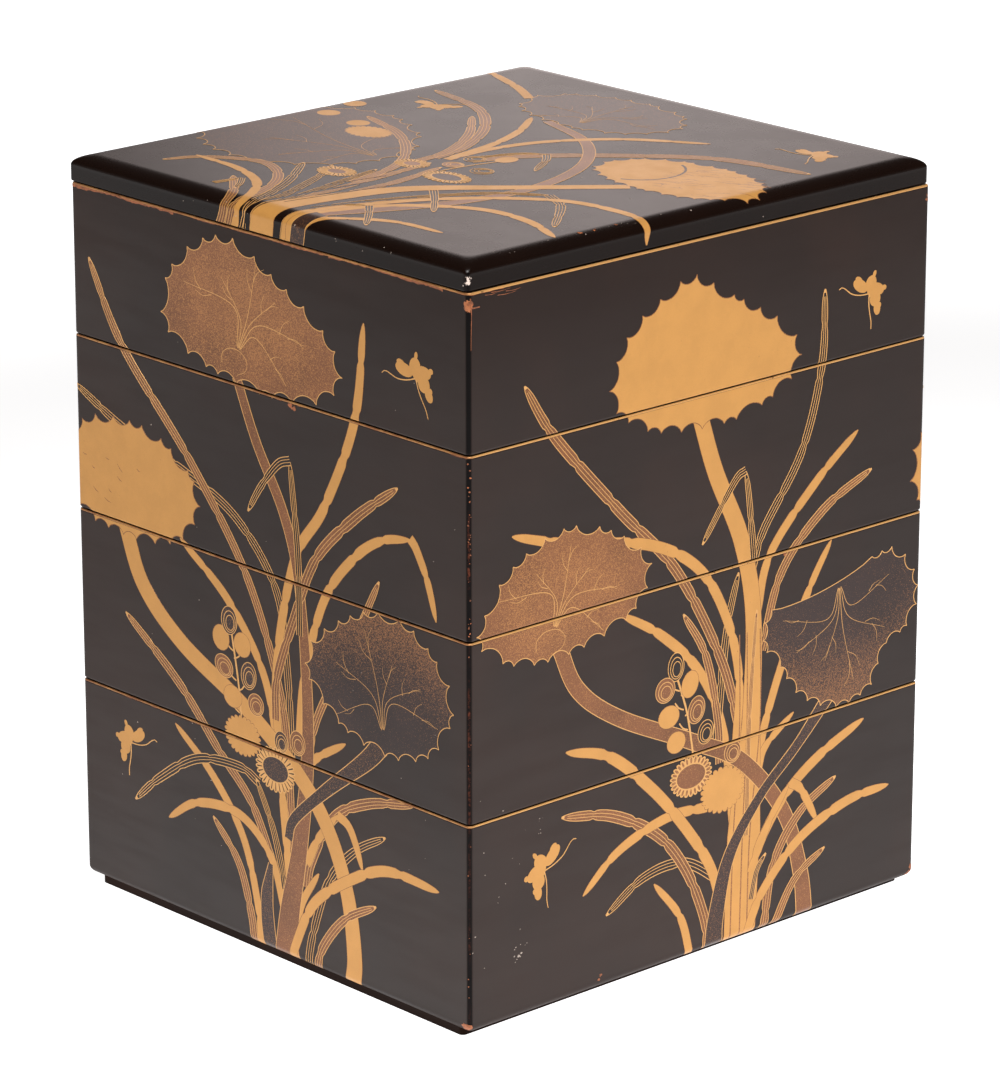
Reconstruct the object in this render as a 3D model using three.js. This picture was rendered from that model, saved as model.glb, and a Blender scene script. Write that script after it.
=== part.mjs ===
// A tiered lacquer food box: four open boxes stacked mouth to foot under one lid.
// Millimetres, +Z up. The origin is at the middle of the underside of the foot.
// The walls face -Y, +Y, -X and +X, and each tier sits with a step in the mouth of the one below.

import * as THREE from 'three';

// Driving dimensions
const WIDTH = 225;            // outer size along X
const DEPTH = 237.5;          // outer size along Y
const TIER_PITCHES = [81.5, 70, 70, 60];   // rim to rim, from the bottom tier up
const FOOT_HEIGHT = 3.2;
const LID_SIDE = 6.2;         // straight side of the lid, below its rounded edge
const LID_ROUND_RISE = 4;     // height of the lid's rounded edge
const LID_ROUND_INSET = 8;    // how far that edge reaches over the top

// Walls and fits
const WALL = 5.5;
const FLOOR = 6;
const SEAM = 0.3;             // open joint between a rim and what rests over it
const NEST_PLAY = 1.2;        // play of a step inside the mouth that it sits in
const STEP_DEPTH = 3.5;       // how deep a step reaches into that mouth
const FOOT_INSET_X = 6.5;
const FOOT_INSET_Y = 2.4;
const LID_BOARD = 5;          // thickness of the lid's flat top
const LID_LEDGE = 4;          // thickness of the ledge that locates the lid
const LID_SLIP = 0.8;         // the lid rests this much towards -X within its play

// Edges
const OUTER_CORNER = 1.8;     // upright corners outside
const INNER_CORNER = 2;       // upright corners inside
const LID_TOP_CORNER = 4;     // corners of the lid's flat top, seen from above
const RIM_BEVEL = 0.8;
const MOUTH_BEVEL = 0.6;
const TIER_LOWER_ROUND = 2;
const BASE_LOWER_ROUND = 3;
const FLOOR_FILLET = 1;
const LID_LOWER_BEVEL = 0.9;
const CORNER_STEPS = 5;
const ROUND_STEPS = 4;
const LID_ROUND_STEPS = 8;

const QUARTER = Math.PI / 2;
const STEP_INSET = WALL + NEST_PLAY;

// A lacquered wood finish in the box's brown-black
function lacquer(roughness) {
  return new THREE.MeshStandardMaterial({ color: 0x3a2f2d, roughness, metalness: 0 });
}

// One level of a profile: a rounded rectangle drawn in from the box's outer faces.
function level(insetX, insetY, z, corner) {
  return { insetX, insetY, z, corner };
}

// The same inset on all four sides
function evenLevel(inset, z, corner) {
  return level(inset, inset, z, corner);
}

// The points of a level, anticlockwise seen from above
function ringPoints({ insetX, insetY, z, corner }) {
  const reachX = WIDTH / 2 - insetX - corner;
  const reachY = DEPTH / 2 - insetY - corner;
  const centres = [[reachX, reachY], [-reachX, reachY], [-reachX, -reachY], [reachX, -reachY]];
  return centres.flatMap(([x, y], quarter) => {
    const start = quarter * QUARTER;
    const arc = new THREE.EllipseCurve(x, y, corner, corner, start, start + QUARTER);
    return arc.getPoints(CORNER_STEPS).map((point) => [point.x, point.y, z]);
  });
}

// A closed body through a list of levels, capped flat at the first and the last.
// The levels run from the middle of the underside, out and up, and back in to the middle.
function loft(levels) {
  const rings = levels.map(ringPoints);
  const count = rings[0].length;
  const positions = rings.flat(2);
  const triangles = [];
  for (let ring = 0; ring + 1 < rings.length; ring += 1) {
    for (let i = 0; i < count; i += 1) {
      const a = ring * count + i;
      const b = ring * count + ((i + 1) % count);
      triangles.push(a, b, b + count, a, b + count, a + count);
    }
  }
  addCap(positions, triangles, 0, count, levels[0].z, false);
  addCap(positions, triangles, (rings.length - 1) * count, count, levels.at(-1).z, true);
  const geometry = new THREE.BufferGeometry();
  geometry.setAttribute('position', new THREE.Float32BufferAttribute(positions, 3));
  geometry.setIndex(triangles);
  geometry.computeVertexNormals();
  return geometry;
}

// A flat fan over one ring, around a point on the axis
function addCap(positions, triangles, first, count, z, facesUp) {
  const middle = positions.length / 3;
  positions.push(0, 0, z);
  for (let i = 0; i < count; i += 1) {
    const a = first + i;
    const b = first + ((i + 1) % count);
    triangles.push(...(facesUp ? [middle, a, b] : [middle, b, a]));
  }
}

// The levels of a convex quarter round, from its underside up to the upright face
function lowerRound(radius, z) {
  return Array.from({ length: ROUND_STEPS + 1 }, (unused, i) => {
    const angle = (i / ROUND_STEPS) * QUARTER;
    return evenLevel(radius * (1 - Math.sin(angle)), z + radius * (1 - Math.cos(angle)), OUTER_CORNER);
  });
}

// The step under an upper tier that sits in the mouth below
function nestingStep(z) {
  return [
    evenLevel(STEP_INSET + RIM_BEVEL, z - STEP_DEPTH, INNER_CORNER),
    evenLevel(STEP_INSET, z - STEP_DEPTH + RIM_BEVEL, INNER_CORNER),
    evenLevel(STEP_INSET, z, INNER_CORNER),
  ];
}

// The low foot that the bottom tier stands on
function foot(z) {
  return [
    level(FOOT_INSET_X, FOOT_INSET_Y, z - FOOT_HEIGHT, INNER_CORNER),
    level(FOOT_INSET_X, FOOT_INSET_Y, z, INNER_CORNER),
  ];
}

// One tier: what it stands on, its rounded lower edge, outer wall, rim, inner wall and floor
function tierGeometry(standing, lowerRadius, z, pitch) {
  const rim = z + pitch - SEAM;
  const floor = z + FLOOR;
  return loft([
    ...standing,
    ...lowerRound(lowerRadius, z),
    evenLevel(0, rim - RIM_BEVEL, OUTER_CORNER),
    evenLevel(RIM_BEVEL, rim, OUTER_CORNER),
    evenLevel(WALL - MOUTH_BEVEL, rim, INNER_CORNER),
    evenLevel(WALL, rim - MOUTH_BEVEL, INNER_CORNER),
    evenLevel(WALL, floor + FLOOR_FILLET, INNER_CORNER),
    evenLevel(WALL + FLOOR_FILLET, floor, INNER_CORNER),
  ]);
}

// The lid: a flat board with low sides, a broad soft edge, and a ledge inside its rim.
// It is hollow underneath, within the ledge.
function lidGeometry(z) {
  const underside = z + LID_SIDE + LID_ROUND_RISE - LID_BOARD;
  const ledgeInside = STEP_INSET + LID_LEDGE;
  const edge = Array.from({ length: LID_ROUND_STEPS + 1 }, (unused, i) => {
    const angle = (i / LID_ROUND_STEPS) * QUARTER;
    const inset = LID_ROUND_INSET * (1 - Math.cos(angle));
    const corner = OUTER_CORNER + (LID_TOP_CORNER - OUTER_CORNER) * (inset / LID_ROUND_INSET);
    return evenLevel(inset, z + LID_SIDE + LID_ROUND_RISE * Math.sin(angle), corner);
  });
  return loft([
    evenLevel(ledgeInside + FLOOR_FILLET, underside, INNER_CORNER),
    evenLevel(ledgeInside, underside - FLOOR_FILLET, INNER_CORNER),
    evenLevel(ledgeInside, z - STEP_DEPTH, INNER_CORNER),
    evenLevel(STEP_INSET + RIM_BEVEL, z - STEP_DEPTH, INNER_CORNER),
    evenLevel(STEP_INSET, z - STEP_DEPTH + RIM_BEVEL, INNER_CORNER),
    evenLevel(STEP_INSET, z, INNER_CORNER),
    evenLevel(LID_LOWER_BEVEL, z, OUTER_CORNER),
    evenLevel(0, z + LID_LOWER_BEVEL, OUTER_CORNER),
    ...edge,
  ]);
}

const box = new THREE.Group();

function add(name, geometry, material, x = 0) {
  const mesh = new THREE.Mesh(geometry, material);
  mesh.name = name;
  mesh.position.x = x;
  box.add(mesh);
}

const tierNames = ['bottom_tier', 'third_tier', 'second_tier', 'top_tier'];
const tierLacquer = lacquer(0.38);
let underside = FOOT_HEIGHT;
tierNames.forEach((name, i) => {
  const isBottom = i === 0;
  const standing = isBottom ? foot(underside) : nestingStep(underside);
  const lowerRadius = isBottom ? BASE_LOWER_ROUND : TIER_LOWER_ROUND;
  add(name, tierGeometry(standing, lowerRadius, underside, TIER_PITCHES[i]), tierLacquer);
  underside += TIER_PITCHES[i];
});
add('lid', lidGeometry(underside), lacquer(0.3), -LID_SLIP);

export default box;
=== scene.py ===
"""A tiered lacquer food box with a gold picture of water plants, flowers and butterflies.

Four hollow tiers and a lid stand where the frame puts them. Each gets a finer lacquer body than
the frame's solid, and the picture lies over it as thin films of gold, red gold and dark powder.
Lengths are millimetres here until they reach a mesh, which is in metres.
"""

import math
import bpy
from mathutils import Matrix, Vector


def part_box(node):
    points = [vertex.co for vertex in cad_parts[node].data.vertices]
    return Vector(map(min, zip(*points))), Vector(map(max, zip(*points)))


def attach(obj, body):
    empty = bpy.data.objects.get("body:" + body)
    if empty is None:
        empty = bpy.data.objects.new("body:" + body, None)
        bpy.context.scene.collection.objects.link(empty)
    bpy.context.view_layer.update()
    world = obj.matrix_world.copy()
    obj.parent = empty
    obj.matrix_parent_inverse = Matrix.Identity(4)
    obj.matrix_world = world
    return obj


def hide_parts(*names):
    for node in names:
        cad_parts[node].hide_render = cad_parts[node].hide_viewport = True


bl_info = {
    "name": "Lacquer food box",
    "version": (1, 0, 0),
    "blender": (4, 5, 0),
    "location": "3D View > Sidebar > Food box",
    "description": "Builds a tiered lacquer food box with a gold picture",
    "category": "Object",
}

from typing import NamedTuple

import bpy
import numpy as np
from bpy.props import FloatProperty, FloatVectorProperty, IntProperty, PointerProperty
from mathutils import Vector
from mathutils.geometry import delaunay_2d_cdt

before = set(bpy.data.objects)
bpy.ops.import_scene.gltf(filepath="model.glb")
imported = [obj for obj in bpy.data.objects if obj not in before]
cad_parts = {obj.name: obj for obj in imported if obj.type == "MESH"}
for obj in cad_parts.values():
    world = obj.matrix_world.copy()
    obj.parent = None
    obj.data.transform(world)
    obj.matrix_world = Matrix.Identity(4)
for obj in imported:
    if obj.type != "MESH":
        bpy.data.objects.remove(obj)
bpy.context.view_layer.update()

MM = 0.001
BODY = "root"

# The pieces of the frame, from the lid down
LID = "lid"
TIERS = ("top_tier", "second_tier", "third_tier", "bottom_tier")

# Sizes that the frame's solids were drawn with
STEP_DEPTH = 3.5
FOOT_HEIGHT = 3.2
FOOT_INSET = (6.5, 2.4)
WALL = 5.5
STEP_INSET = 6.7
FLOOR = 6.0
FLOOR_FILLET = 1.0
RIM_BEVEL = 0.8
MOUTH_BEVEL = 0.6
OUTER_CORNER = 1.8
INNER_CORNER = 2.0
LID_TOP_CORNER = 4.0
LID_LEDGE = 4.0
LID_BOARD = 5.0
LID_SIDE = 6.2
LID_ROUND = (8.0, 4.0)
BASE_LOWER_ROUND = 3.0

# Lower edges that are crisper here than in the frame's solids
LID_LOWER_BEVEL = 0.3
TIER_LOWER_ROUND = 0.9

# How finely round edges are divided, and how close a support loop stands to them
CORNER_STEPS = 8
ROUND_STEPS = 8
LID_ROUND_STEPS = 12
SUPPORT = 0.4
SMOOTH_ANGLE = math.radians(50)

# What a shape of the picture is made of. Bare shapes only hide what lies under them.
GOLD = "gold"
LINE = "line"
RED = "red_gold"
DARK = "dark_gold"
WORN = "worn_edge"
PALE = "pale_chip"
BARE = "bare"

# Which material of the record each finish belongs to, and what its own is called
SLOTS = {GOLD: "gold", LINE: "gold", RED: "red_gold", DARK: "dark_gold", WORN: "worn_edge",
         PALE: "worn_edge"}
FINISH_NAMES = {GOLD: "Gold fill", LINE: "Gold line", RED: "Red gold", DARK: "Dark powder",
                WORN: "Worn edge", PALE: "Pale chip"}

# How dark the lid's lacquer is beside that of the tiers
LID_DARKNESS = 0.4

# How strongly the lacquer and the gold mirror, and how metallic each kind of gold is
GLOSS = 0.21
GOLD_METAL = 0.15
POWDER_METAL = 0.2
RIM_METAL = 0.5


def box_of(node):
    """A node's lowest and highest corner in millimetres."""
    low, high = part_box(node)
    return np.array(low) / MM, np.array(high) / MM


TIER_LOW, TIER_HIGH = box_of("top_tier")
WIDTH = TIER_HIGH[0] - TIER_LOW[0]
DEPTH = TIER_HIGH[1] - TIER_LOW[1]
PICTURE_TOP = TIER_HIGH[2]
FACE_LENGTHS = (WIDTH, DEPTH, WIDTH, DEPTH)
FACE_STARTS = tuple(float(sum(FACE_LENGTHS[:i])) for i in range(4))
GIRTH = float(sum(FACE_LENGTHS))

# How a path of the picture is divided
PATH_STEP = 1.5
STALK_STEP = 2.0
LEAF_STEP = 1.0
SPLINE_STEPS = 12

# How a grass blade is drawn. Its half width and the length of its rounded tip are shares of its
# width, and slim is the share of that width at the tip. Then come the least half width, where
# the blade is full, its joints, and the two lines inside it as shares of its half width.
BLADE_HALF = 0.46
BLADE_TIP = 1.8
BLADE_SLIM = 0.72
BLADE_BLUNT = 0.35
BLADE_FULL_AT = 30.0
FIRST_JOINT = (14, 22)
NEXT_JOINT = (18, 27)
LAST_JOINT = 6
JOINT_PINCH = 0.3
JOINT_LENGTH = 1.2
INNER_LINES = (-0.32, 0.28)
INNER_START = 2
INNER_ROOM = 0.3

# The red edge round solid gold, and the narrowest fill worth painting
GOLD_EDGE = 0.18
NARROWEST = 0.08

# A leaf's edge: how far its spikes stray from even places, and how deep the hollows between are
SPIKE_STRAY = 0.27
SCALLOP_SHARE = 0.27
SCALLOP_DEPTH = 3.2
SCALLOP_SHAPE = 0.65

# The width of the red line round a leaf of solid gold, and how much heavier than a hairline the
# veins are drawn on powder that isn't dark
RED_RIM = 0.3
VEIN_WEIGHT = 1.35

# A leaf's veins: the way each leans from the middle, and its share of the room to the edge. Then
# come where a vein starts on the way to its bend, where along its length it bends, how much of
# its lean it has up to there, and how far it thins.
VEINS = ((-82, 0.78), (-44, 0.66), (-8, 0.82), (18, 0.6), (50, 0.64), (80, 0.8))
VEIN_START = 0.1
VEIN_BEND = 0.45
VEIN_LEAN = 0.4
VEIN_TAPER = 0.6

# A vein's side twigs: the lean of each and where past the bend it starts, their length as a
# share of the vein's, how far they bow, how heavy they are and how far they thin
TWIGS = ((-32, 0.45), (28, 0.64))
TWIG_LENGTH = 0.24
TWIG_BOW = 0.14
TWIG_WEIGHT = 0.8
TWIG_TAPER = 0.7

# The open ring at the foot of a red leaf's veins
RING_OFFSET = 5.0
RING_REACH = (7.5, 5.0)

# The nested rings of a lined bud, by size and drift, and the red edge of a gold one
BUD_RINGS = ((1.0, 0.0), (0.76, 0.45), (0.54, 0.9))
BUD_EDGE = 0.2

# The petals at a flower's edge: points to a petal, how round they are and how deep the notches
# of the two kinds of flower are, and the red edge of a gold flower
PETAL_STEPS = 6
PETAL_SHAPE = 0.6
DAISY_NOTCH = 0.13
DAISY_EDGE = 0.25
RING_NOTCH = 0.14

# The petals of a ring flower: from just off the disc to just short of the edge, as dark slits by
# half width or as filled ovals by reach
PETAL_SPAN = (1.02, 0.93)
PETAL_SLIT = (0.16, 0.3)
PETAL_OVAL = (1.25, 0.55)

# A butterfly's wings and body as ellipses, by middle, reach and turn, and its feelers
WINGS = (((-6.2, -1.9), (4.7, 2.5), 10), ((-8.0, -4.0), (2.2, 1.3), 14),
         ((-0.4, -3.9), (3.0, 3.6), 12), ((0.2, -8.2), (0.9, 1.5), 8),
         ((4.2, -2.6), (4.0, 2.5), 2), ((8.1, -3.9), (1.2, 1.1), 0),
         ((4.4, 1.6), (3.1, 3.2), -30), ((7.0, 5.2), (1.9, 2.8), -28),
         ((7.8, 3.6), (1.1, 1.2), 0), ((1.2, -0.6), (3.2, 2.0), 30))
FEELERS = (((-0.4, 0.4), (-5, 1.8), (-10, 2.2), (-14, 1.1), (-16.6, 0.6), (-18.2, 1.8)),
           ((0.2, 0.6), (1.4, 4.2), (3.4, 7.8), (5.4, 10.8), (6.6, 14)))
FEELER_WIDTH = 0.48
FEELER_TAPER = 0.3

# How much wider than high a chip is and how many corners it has, and the length of the steps of
# a ragged edge and how many of them its depth is averaged over
CHIP_BREADTH = 1.4
CHIP_CORNERS = 9
RAGGED_STEP = 1.1
RAGGED_RUN = 9

# The half width of a scratch from its start to its end
SCRATCH = (0.08, 0.22, 0.08)

# The even shading of stalks and blades, which is that of a place far out beside a leaf, and a
# length beside which the picture is small
OUTLYING = (2.2, -0.25)
FAR_OFF = 1e6

# Where the picture starts on the rounded lower edge of a tier, in steps of that edge
PICTURE_FOOT = 3

# The gilded bead: its sides, how much thicker it is round the top tier, and how far its skin
# lies inside the rim
BEAD_SIDES = 12
TOP_BEAD = 1.35
BEAD_CLEAR = 0.06

# Bands at the upright corners, by the distance from both faces over which each fades: a black
# band of painted shade that stands in for the dark reflection down the corner, and the rubbed crest
ARRIS_SHADE = (1.1 * MM, 1.9 * MM)
CREST = (0.7 * MM, 1.25 * MM)

# The heights between which the rubbed crest grows, and those between which it ends
WEAR_GROWS = (90 * MM, 160 * MM)
WEAR_ENDS = (220 * MM, 226 * MM)

# Where the reflection is dimmed as painted shade: two heights, and the share of the gloss left below
# the one and above the other. It darkens the tiers' foot and rounded lower edge, the top tier's
# upper part, and the lid's straight side
TIER_SHINE = ((3.0, 7.5, 0.15, 1.0), (236, 284, 1.0, 0.72))
LID_SHINE = ((289.5, 292.5, 0.5, 1.0),)

# The white screen behind the box: which way it lies from the box, what lies across that, how
# far off that way its middle is, and how its light falls off across, upwards and to the front
SCREEN_WAY = (-0.735, 0.678, 0.0)
SCREEN_ACROSS = (0.678, 0.735, 0.0)
SCREEN_MIDDLE = 0.02
SCREEN_EDGE = (0.03, 0.12)
SCREEN_TOP = (0.2, 0.42)
SCREEN_FRONT = (0.0, 0.3)

# The studio's own light: low down, everywhere, and its warm tint
LOW_LIGHT = 0.2
ROOM_LIGHT = 0.06
ROOM_TINT = (1, 0.87, 0.84, 1)

# The light under the floor: where it is strongest, where that fades, and the outer brightening
GLOW_MIDDLE = (0.17, 0.06, 0.0)
NEAR_GLOW = (0.16, 0.8)
FAR_GLOW = (0.85, 1.35)
FAR_GLOW_STRENGTH = 1.1

# The softbox: its place, what it points at and its side, in metres
SOFTBOX_PLACE = (0.82, -0.46, 2.05)
SOFTBOX_AIM = (0, 0, 0.15)
SOFTBOX_SIDE = 1.1

# The camera, fitted to the corners of the tiers: its place in metres, its turn and its tilt down
EYE_PLACE = (1.44405, -1.33060, 0.76868)
EYE_TURN = math.radians(-47.34)
EYE_TILT = math.radians(17.73)
FOCAL_LENGTH = 176.28
SENSOR_WIDTH = 36.0


def screen(red, green, blue):
    """A colour read off a screen, from 0 to 255, as linear light."""
    def linear(value):
        share = value / 255
        return share / 12.92 if share <= 0.04045 else ((share + 0.055) / 1.055) ** 2.4
    return linear(red), linear(green), linear(blue)


# Colours of the rubbed and worn places, and the black of the painted shade down the upright corners
CORNER_SHADE_BLACK = (0.006, 0.005, 0.005)
RUBBED_CORNER = screen(120, 62, 42)
PALE_SPECK = screen(150, 134, 124)
RUBBED_GOLD = screen(120, 76, 44)
RUBBED_RIM = screen(140, 88, 52)
NICKED_RIM = screen(84, 46, 30)

# The chip at the tier's near corner and the pale spot at the lid's: their places and sizes in
# metres, and their colour. The tier's is orange-brown bare ground; the lid's is near white.
LID_PALE_SPOT = ((0.1112, -0.1180, 0.2882), 1.55 * MM, screen(214, 196, 184))
TIER_CHIP = ((0.1120, -0.1182, 0.2800), 2.0 * MM, screen(166, 102, 66))


class FoodBoxSizes(bpy.types.PropertyGroup):
    """Sizes of the finish, in millimetres."""

    film_room: FloatProperty(
        name="Room for films", description="How far the lacquer lies under the outer size",
        default=0.1, min=0.02, max=0.5)
    fill_lift: FloatProperty(
        name="Fill thickness", description="How proud the filled shapes stand of the lacquer",
        default=0.05, min=0.01, max=0.2)
    line_lift: FloatProperty(
        name="Line thickness", description="How proud the drawn lines stand of the lacquer",
        default=0.08, min=0.01, max=0.2)
    outline: FloatProperty(
        name="Outline width", description="Width of the gold line round a lined shape",
        default=0.32, min=0.1, max=2.0)
    hairline: FloatProperty(
        name="Hairline width", description="Width of the fine lines inside a shape",
        default=0.24, min=0.1, max=2.0)
    bead: FloatProperty(
        name="Rim bead radius", description="Radius of the gilded edge round each tier's mouth",
        default=0.42, min=0.2, max=0.8)
    seed: IntProperty(
        name="Seed", description="Start of the small irregularities of the drawing",
        default=11, min=0)


class FoodBoxColours(bpy.types.PropertyGroup):
    """Colours of the finishes."""

    lacquer: FloatVectorProperty(
        name="Lacquer", description="Brown-black lacquer", subtype="COLOR",
        default=(0.0150, 0.0053, 0.0026), min=0, max=1)
    gold: FloatVectorProperty(
        name="Gold", description="Gold of the filled shapes", subtype="COLOR",
        default=screen(192, 138, 72), min=0, max=1)
    line: FloatVectorProperty(
        name="Line gold", description="Gold of the drawn lines", subtype="COLOR",
        default=screen(204, 152, 90), min=0, max=1)
    red: FloatVectorProperty(
        name="Red ground", description="Red-brown under thin gold powder", subtype="COLOR",
        default=screen(116, 72, 44), min=0, max=1)
    red_powder: FloatVectorProperty(
        name="Red gold powder", description="Gold powder over the red-brown", subtype="COLOR",
        default=screen(162, 110, 64), min=0, max=1)
    dark: FloatVectorProperty(
        name="Dark ground", description="Silver-grey ground of the dark leaves",
        subtype="COLOR", default=screen(45, 32, 30), min=0, max=1)
    dark_powder: FloatVectorProperty(
        name="Dark leaf powder", description="Gold powder on the dark leaves",
        subtype="COLOR", default=screen(138, 92, 56), min=0, max=1)
    worn: FloatVectorProperty(
        name="Worn edge", description="Orange-brown ground laid bare at chipped edges",
        subtype="COLOR", default=screen(160, 88, 44), min=0, max=1)
    pale: FloatVectorProperty(
        name="Pale chip", description="Pale filler laid bare by small knocks",
        subtype="COLOR", default=screen(176, 160, 148), min=0, max=1)


class FoodBoxStage(bpy.types.PropertyGroup):
    """Floor, light and camera."""

    floor_radius: FloatProperty(
        name="Floor radius", description="Radius of the pale floor", subtype="DISTANCE",
        unit="LENGTH", default=8.0, min=1.0)
    floor_colour: FloatVectorProperty(
        name="Floor", description="Colour of the floor", subtype="COLOR",
        default=(0.8, 0.8, 0.8), min=0, max=1)
    floor_glow: FloatProperty(
        name="Floor glow", description="Light from under the floor, so that it reads white",
        default=0.39, min=0.0)
    near_glow: FloatProperty(
        name="Near glow", description="Further light from under the floor around the box",
        default=0.86, min=0.0)
    backdrop: FloatProperty(
        name="Backdrop brightness", description="Brightness of the white screen behind the box",
        default=1.72, min=0.0)
    softbox: FloatProperty(
        name="Softbox power", description="Power of the softbox overhead", subtype="POWER",
        unit="POWER", default=62.0, min=0.0)


# Solid forms

def level(inset, z, corner=OUTER_CORNER):
    """One level of a body: how far its rounded rectangle is drawn in, its height and corner."""
    return np.array((inset, inset, z, corner))


def supported(levels):
    """Adds a level close to each end of a long stretch, so that the stretch shades flat."""
    result = [levels[0]]
    for before, after in zip(levels, levels[1:]):
        length = math.hypot(after[0] - before[0], after[2] - before[2])
        if length > 3 * SUPPORT:
            share = SUPPORT / length
            result.append(before + (after - before) * share)
            result.append(after - (after - before) * share)
        result.append(after)
    return result


def ring(one_level, centre_x):
    """The points of a level, anticlockwise from above, with support points beside each corner."""
    inset_x, inset_y, z, corner = one_level
    reach_x = WIDTH / 2 - inset_x - corner
    reach_y = DEPTH / 2 - inset_y - corner
    points = []
    for quarter, (side_x, side_y) in enumerate(((1, 1), (-1, 1), (-1, -1), (1, -1))):
        middle = np.array((centre_x + side_x * reach_x, side_y * reach_y))
        turns = (quarter + np.linspace(0, 1, CORNER_STEPS + 1)) * math.pi / 2
        arc = middle + corner * np.column_stack((np.cos(turns), np.sin(turns)))
        along = np.column_stack((-np.sin(turns), np.cos(turns)))
        points.append(arc[0] - along[0] * SUPPORT)
        points.extend(arc)
        points.append(arc[-1] + along[-1] * SUPPORT)
    flat = np.array(points)
    return np.column_stack((flat, np.full(len(flat), z)))


def loft(name, levels, centre_x=0.0):
    """A closed body through its levels, capped flat at the first and the last."""
    rings = [ring(one_level, centre_x) for one_level in supported(levels)]
    count = len(rings[0])
    around = np.arange(count)
    following = np.roll(around, -1)
    faces = [tuple(around[::-1])]
    for i in range(len(rings) - 1):
        low, high = i * count, (i + 1) * count
        quads = np.column_stack((low + around, low + following, high + following, high + around))
        faces.extend(map(tuple, quads))
    faces.append(tuple((len(rings) - 1) * count + around))
    mesh = bpy.data.meshes.new(name)
    mesh.from_pydata(np.concatenate(rings) * MM, [], faces)
    mesh.shade_smooth()
    mesh.set_sharp_from_angle(angle=SMOOTH_ANGLE)
    return place_object(name, mesh)


def place_object(name, mesh):
    """Links a mesh to the scene as an object at the origin."""
    mesh.validate()
    piece = bpy.data.objects.new(name, mesh)
    bpy.context.scene.collection.objects.link(piece)
    return piece


def round_levels(radius, z, room):
    """The levels of the rounded lower edge, from the underside up to the wall."""
    turns = np.linspace(0, math.pi / 2, ROUND_STEPS + 1)
    return [level(room + radius * (1 - math.sin(turn)), z + radius * (1 - math.cos(turn)))
            for turn in turns]


def tier_span(node):
    """A tier's underside and rim."""
    low, high = box_of(node)
    stands_on = FOOT_HEIGHT if node == TIERS[-1] else STEP_DEPTH
    return low[2] + stands_on, high[2]


def lower_radius(node):
    """The radius of a tier's rounded lower edge."""
    return BASE_LOWER_ROUND if node == TIERS[-1] else TIER_LOWER_ROUND


def tier_levels(node, room):
    """A tier from the middle of its underside, out and up over the rim, down to its floor."""
    bottom, rim = tier_span(node)
    floor = bottom + FLOOR
    if node == TIERS[-1]:
        standing = [np.array((*FOOT_INSET, bottom - FOOT_HEIGHT, INNER_CORNER)),
                    np.array((*FOOT_INSET, bottom, INNER_CORNER))]
    else:
        standing = [level(STEP_INSET + RIM_BEVEL, bottom - STEP_DEPTH, INNER_CORNER),
                    level(STEP_INSET, bottom - STEP_DEPTH + RIM_BEVEL, INNER_CORNER),
                    level(STEP_INSET, bottom, INNER_CORNER)]
    return [
        *standing,
        *round_levels(lower_radius(node), bottom, room),
        level(room, rim - RIM_BEVEL),
        level(room + RIM_BEVEL, rim - room / 2),
        level(WALL - MOUTH_BEVEL, rim - room / 2, INNER_CORNER),
        level(WALL, rim - MOUTH_BEVEL, INNER_CORNER),
        level(WALL, floor + FLOOR_FILLET, INNER_CORNER),
        level(WALL + FLOOR_FILLET, floor, INNER_CORNER),
    ]


def lid_edge(bottom, room):
    """The lid's rounded edge, from its straight side to its flat top."""
    inset, rise = LID_ROUND
    turns = np.linspace(0, math.pi / 2, LID_ROUND_STEPS + 1)
    edge = []
    for turn in turns:
        drawn_in = inset * (1 - math.cos(turn))
        corner = OUTER_CORNER + (LID_TOP_CORNER - OUTER_CORNER) * drawn_in / inset
        height = bottom + LID_SIDE + (rise - room) * math.sin(turn)
        edge.append(level(room + drawn_in, height, corner))
    return edge


def lid_levels(room):
    """The lid from the middle of its underside, round its ledge and side, to its flat top."""
    low, high = box_of(LID)
    bottom = low[2] + STEP_DEPTH
    underside = high[2] - LID_BOARD
    ledge_inside = STEP_INSET + LID_LEDGE
    edge = lid_edge(bottom, room)
    inner_top = edge[-1] + np.array((SUPPORT, SUPPORT, 0, 0))
    return [
        level(ledge_inside + FLOOR_FILLET, underside, INNER_CORNER),
        level(ledge_inside, underside - FLOOR_FILLET, INNER_CORNER),
        level(ledge_inside, low[2], INNER_CORNER),
        level(STEP_INSET + RIM_BEVEL, low[2], INNER_CORNER),
        level(STEP_INSET, low[2] + RIM_BEVEL, INNER_CORNER),
        level(STEP_INSET, bottom, INNER_CORNER),
        level(room + LID_LOWER_BEVEL, bottom),
        level(room, bottom + LID_LOWER_BEVEL),
        *edge,
        inner_top,
    ]


def lid_centre():
    """How far the lid rests to one side within its play."""
    low, high = box_of(LID)
    return (low[0] + high[0]) / 2


# Paths of the picture. Across runs to the right as seen from outside, and up runs up.

def smooth_path(points, spacing, closed=False):
    """A smooth path through a few points, at even steps."""
    given = np.asarray(points, float)
    if closed:
        padded = np.vstack((given[-1:], given, given[:2]))
    else:
        padded = np.vstack((2 * given[0] - given[1], given, 2 * given[-1] - given[-2]))
    share = np.linspace(0, 1, SPLINE_STEPS, endpoint=False)[:, None]
    runs = []
    for a, b, c, d in zip(padded, padded[1:], padded[2:], padded[3:]):
        bend = 2 * a - 5 * b + 4 * c - d
        twist = 3 * b - a - 3 * c + d
        runs.append(0.5 * (2 * b + (c - a) * share + bend * share**2 + twist * share**3))
    dense = np.vstack((*runs, padded[-2:-1]))
    lengths = distances(dense)
    steps = max(3, round(lengths[-1] / spacing) + 1)
    at = np.linspace(0, lengths[-1], steps)
    return np.column_stack([np.interp(at, lengths, dense[:, axis]) for axis in (0, 1)])


def distances(path):
    """The length of the path up to each of its points."""
    return np.concatenate(([0.0], np.cumsum(np.hypot(*np.diff(path, axis=0).T))))


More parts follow.
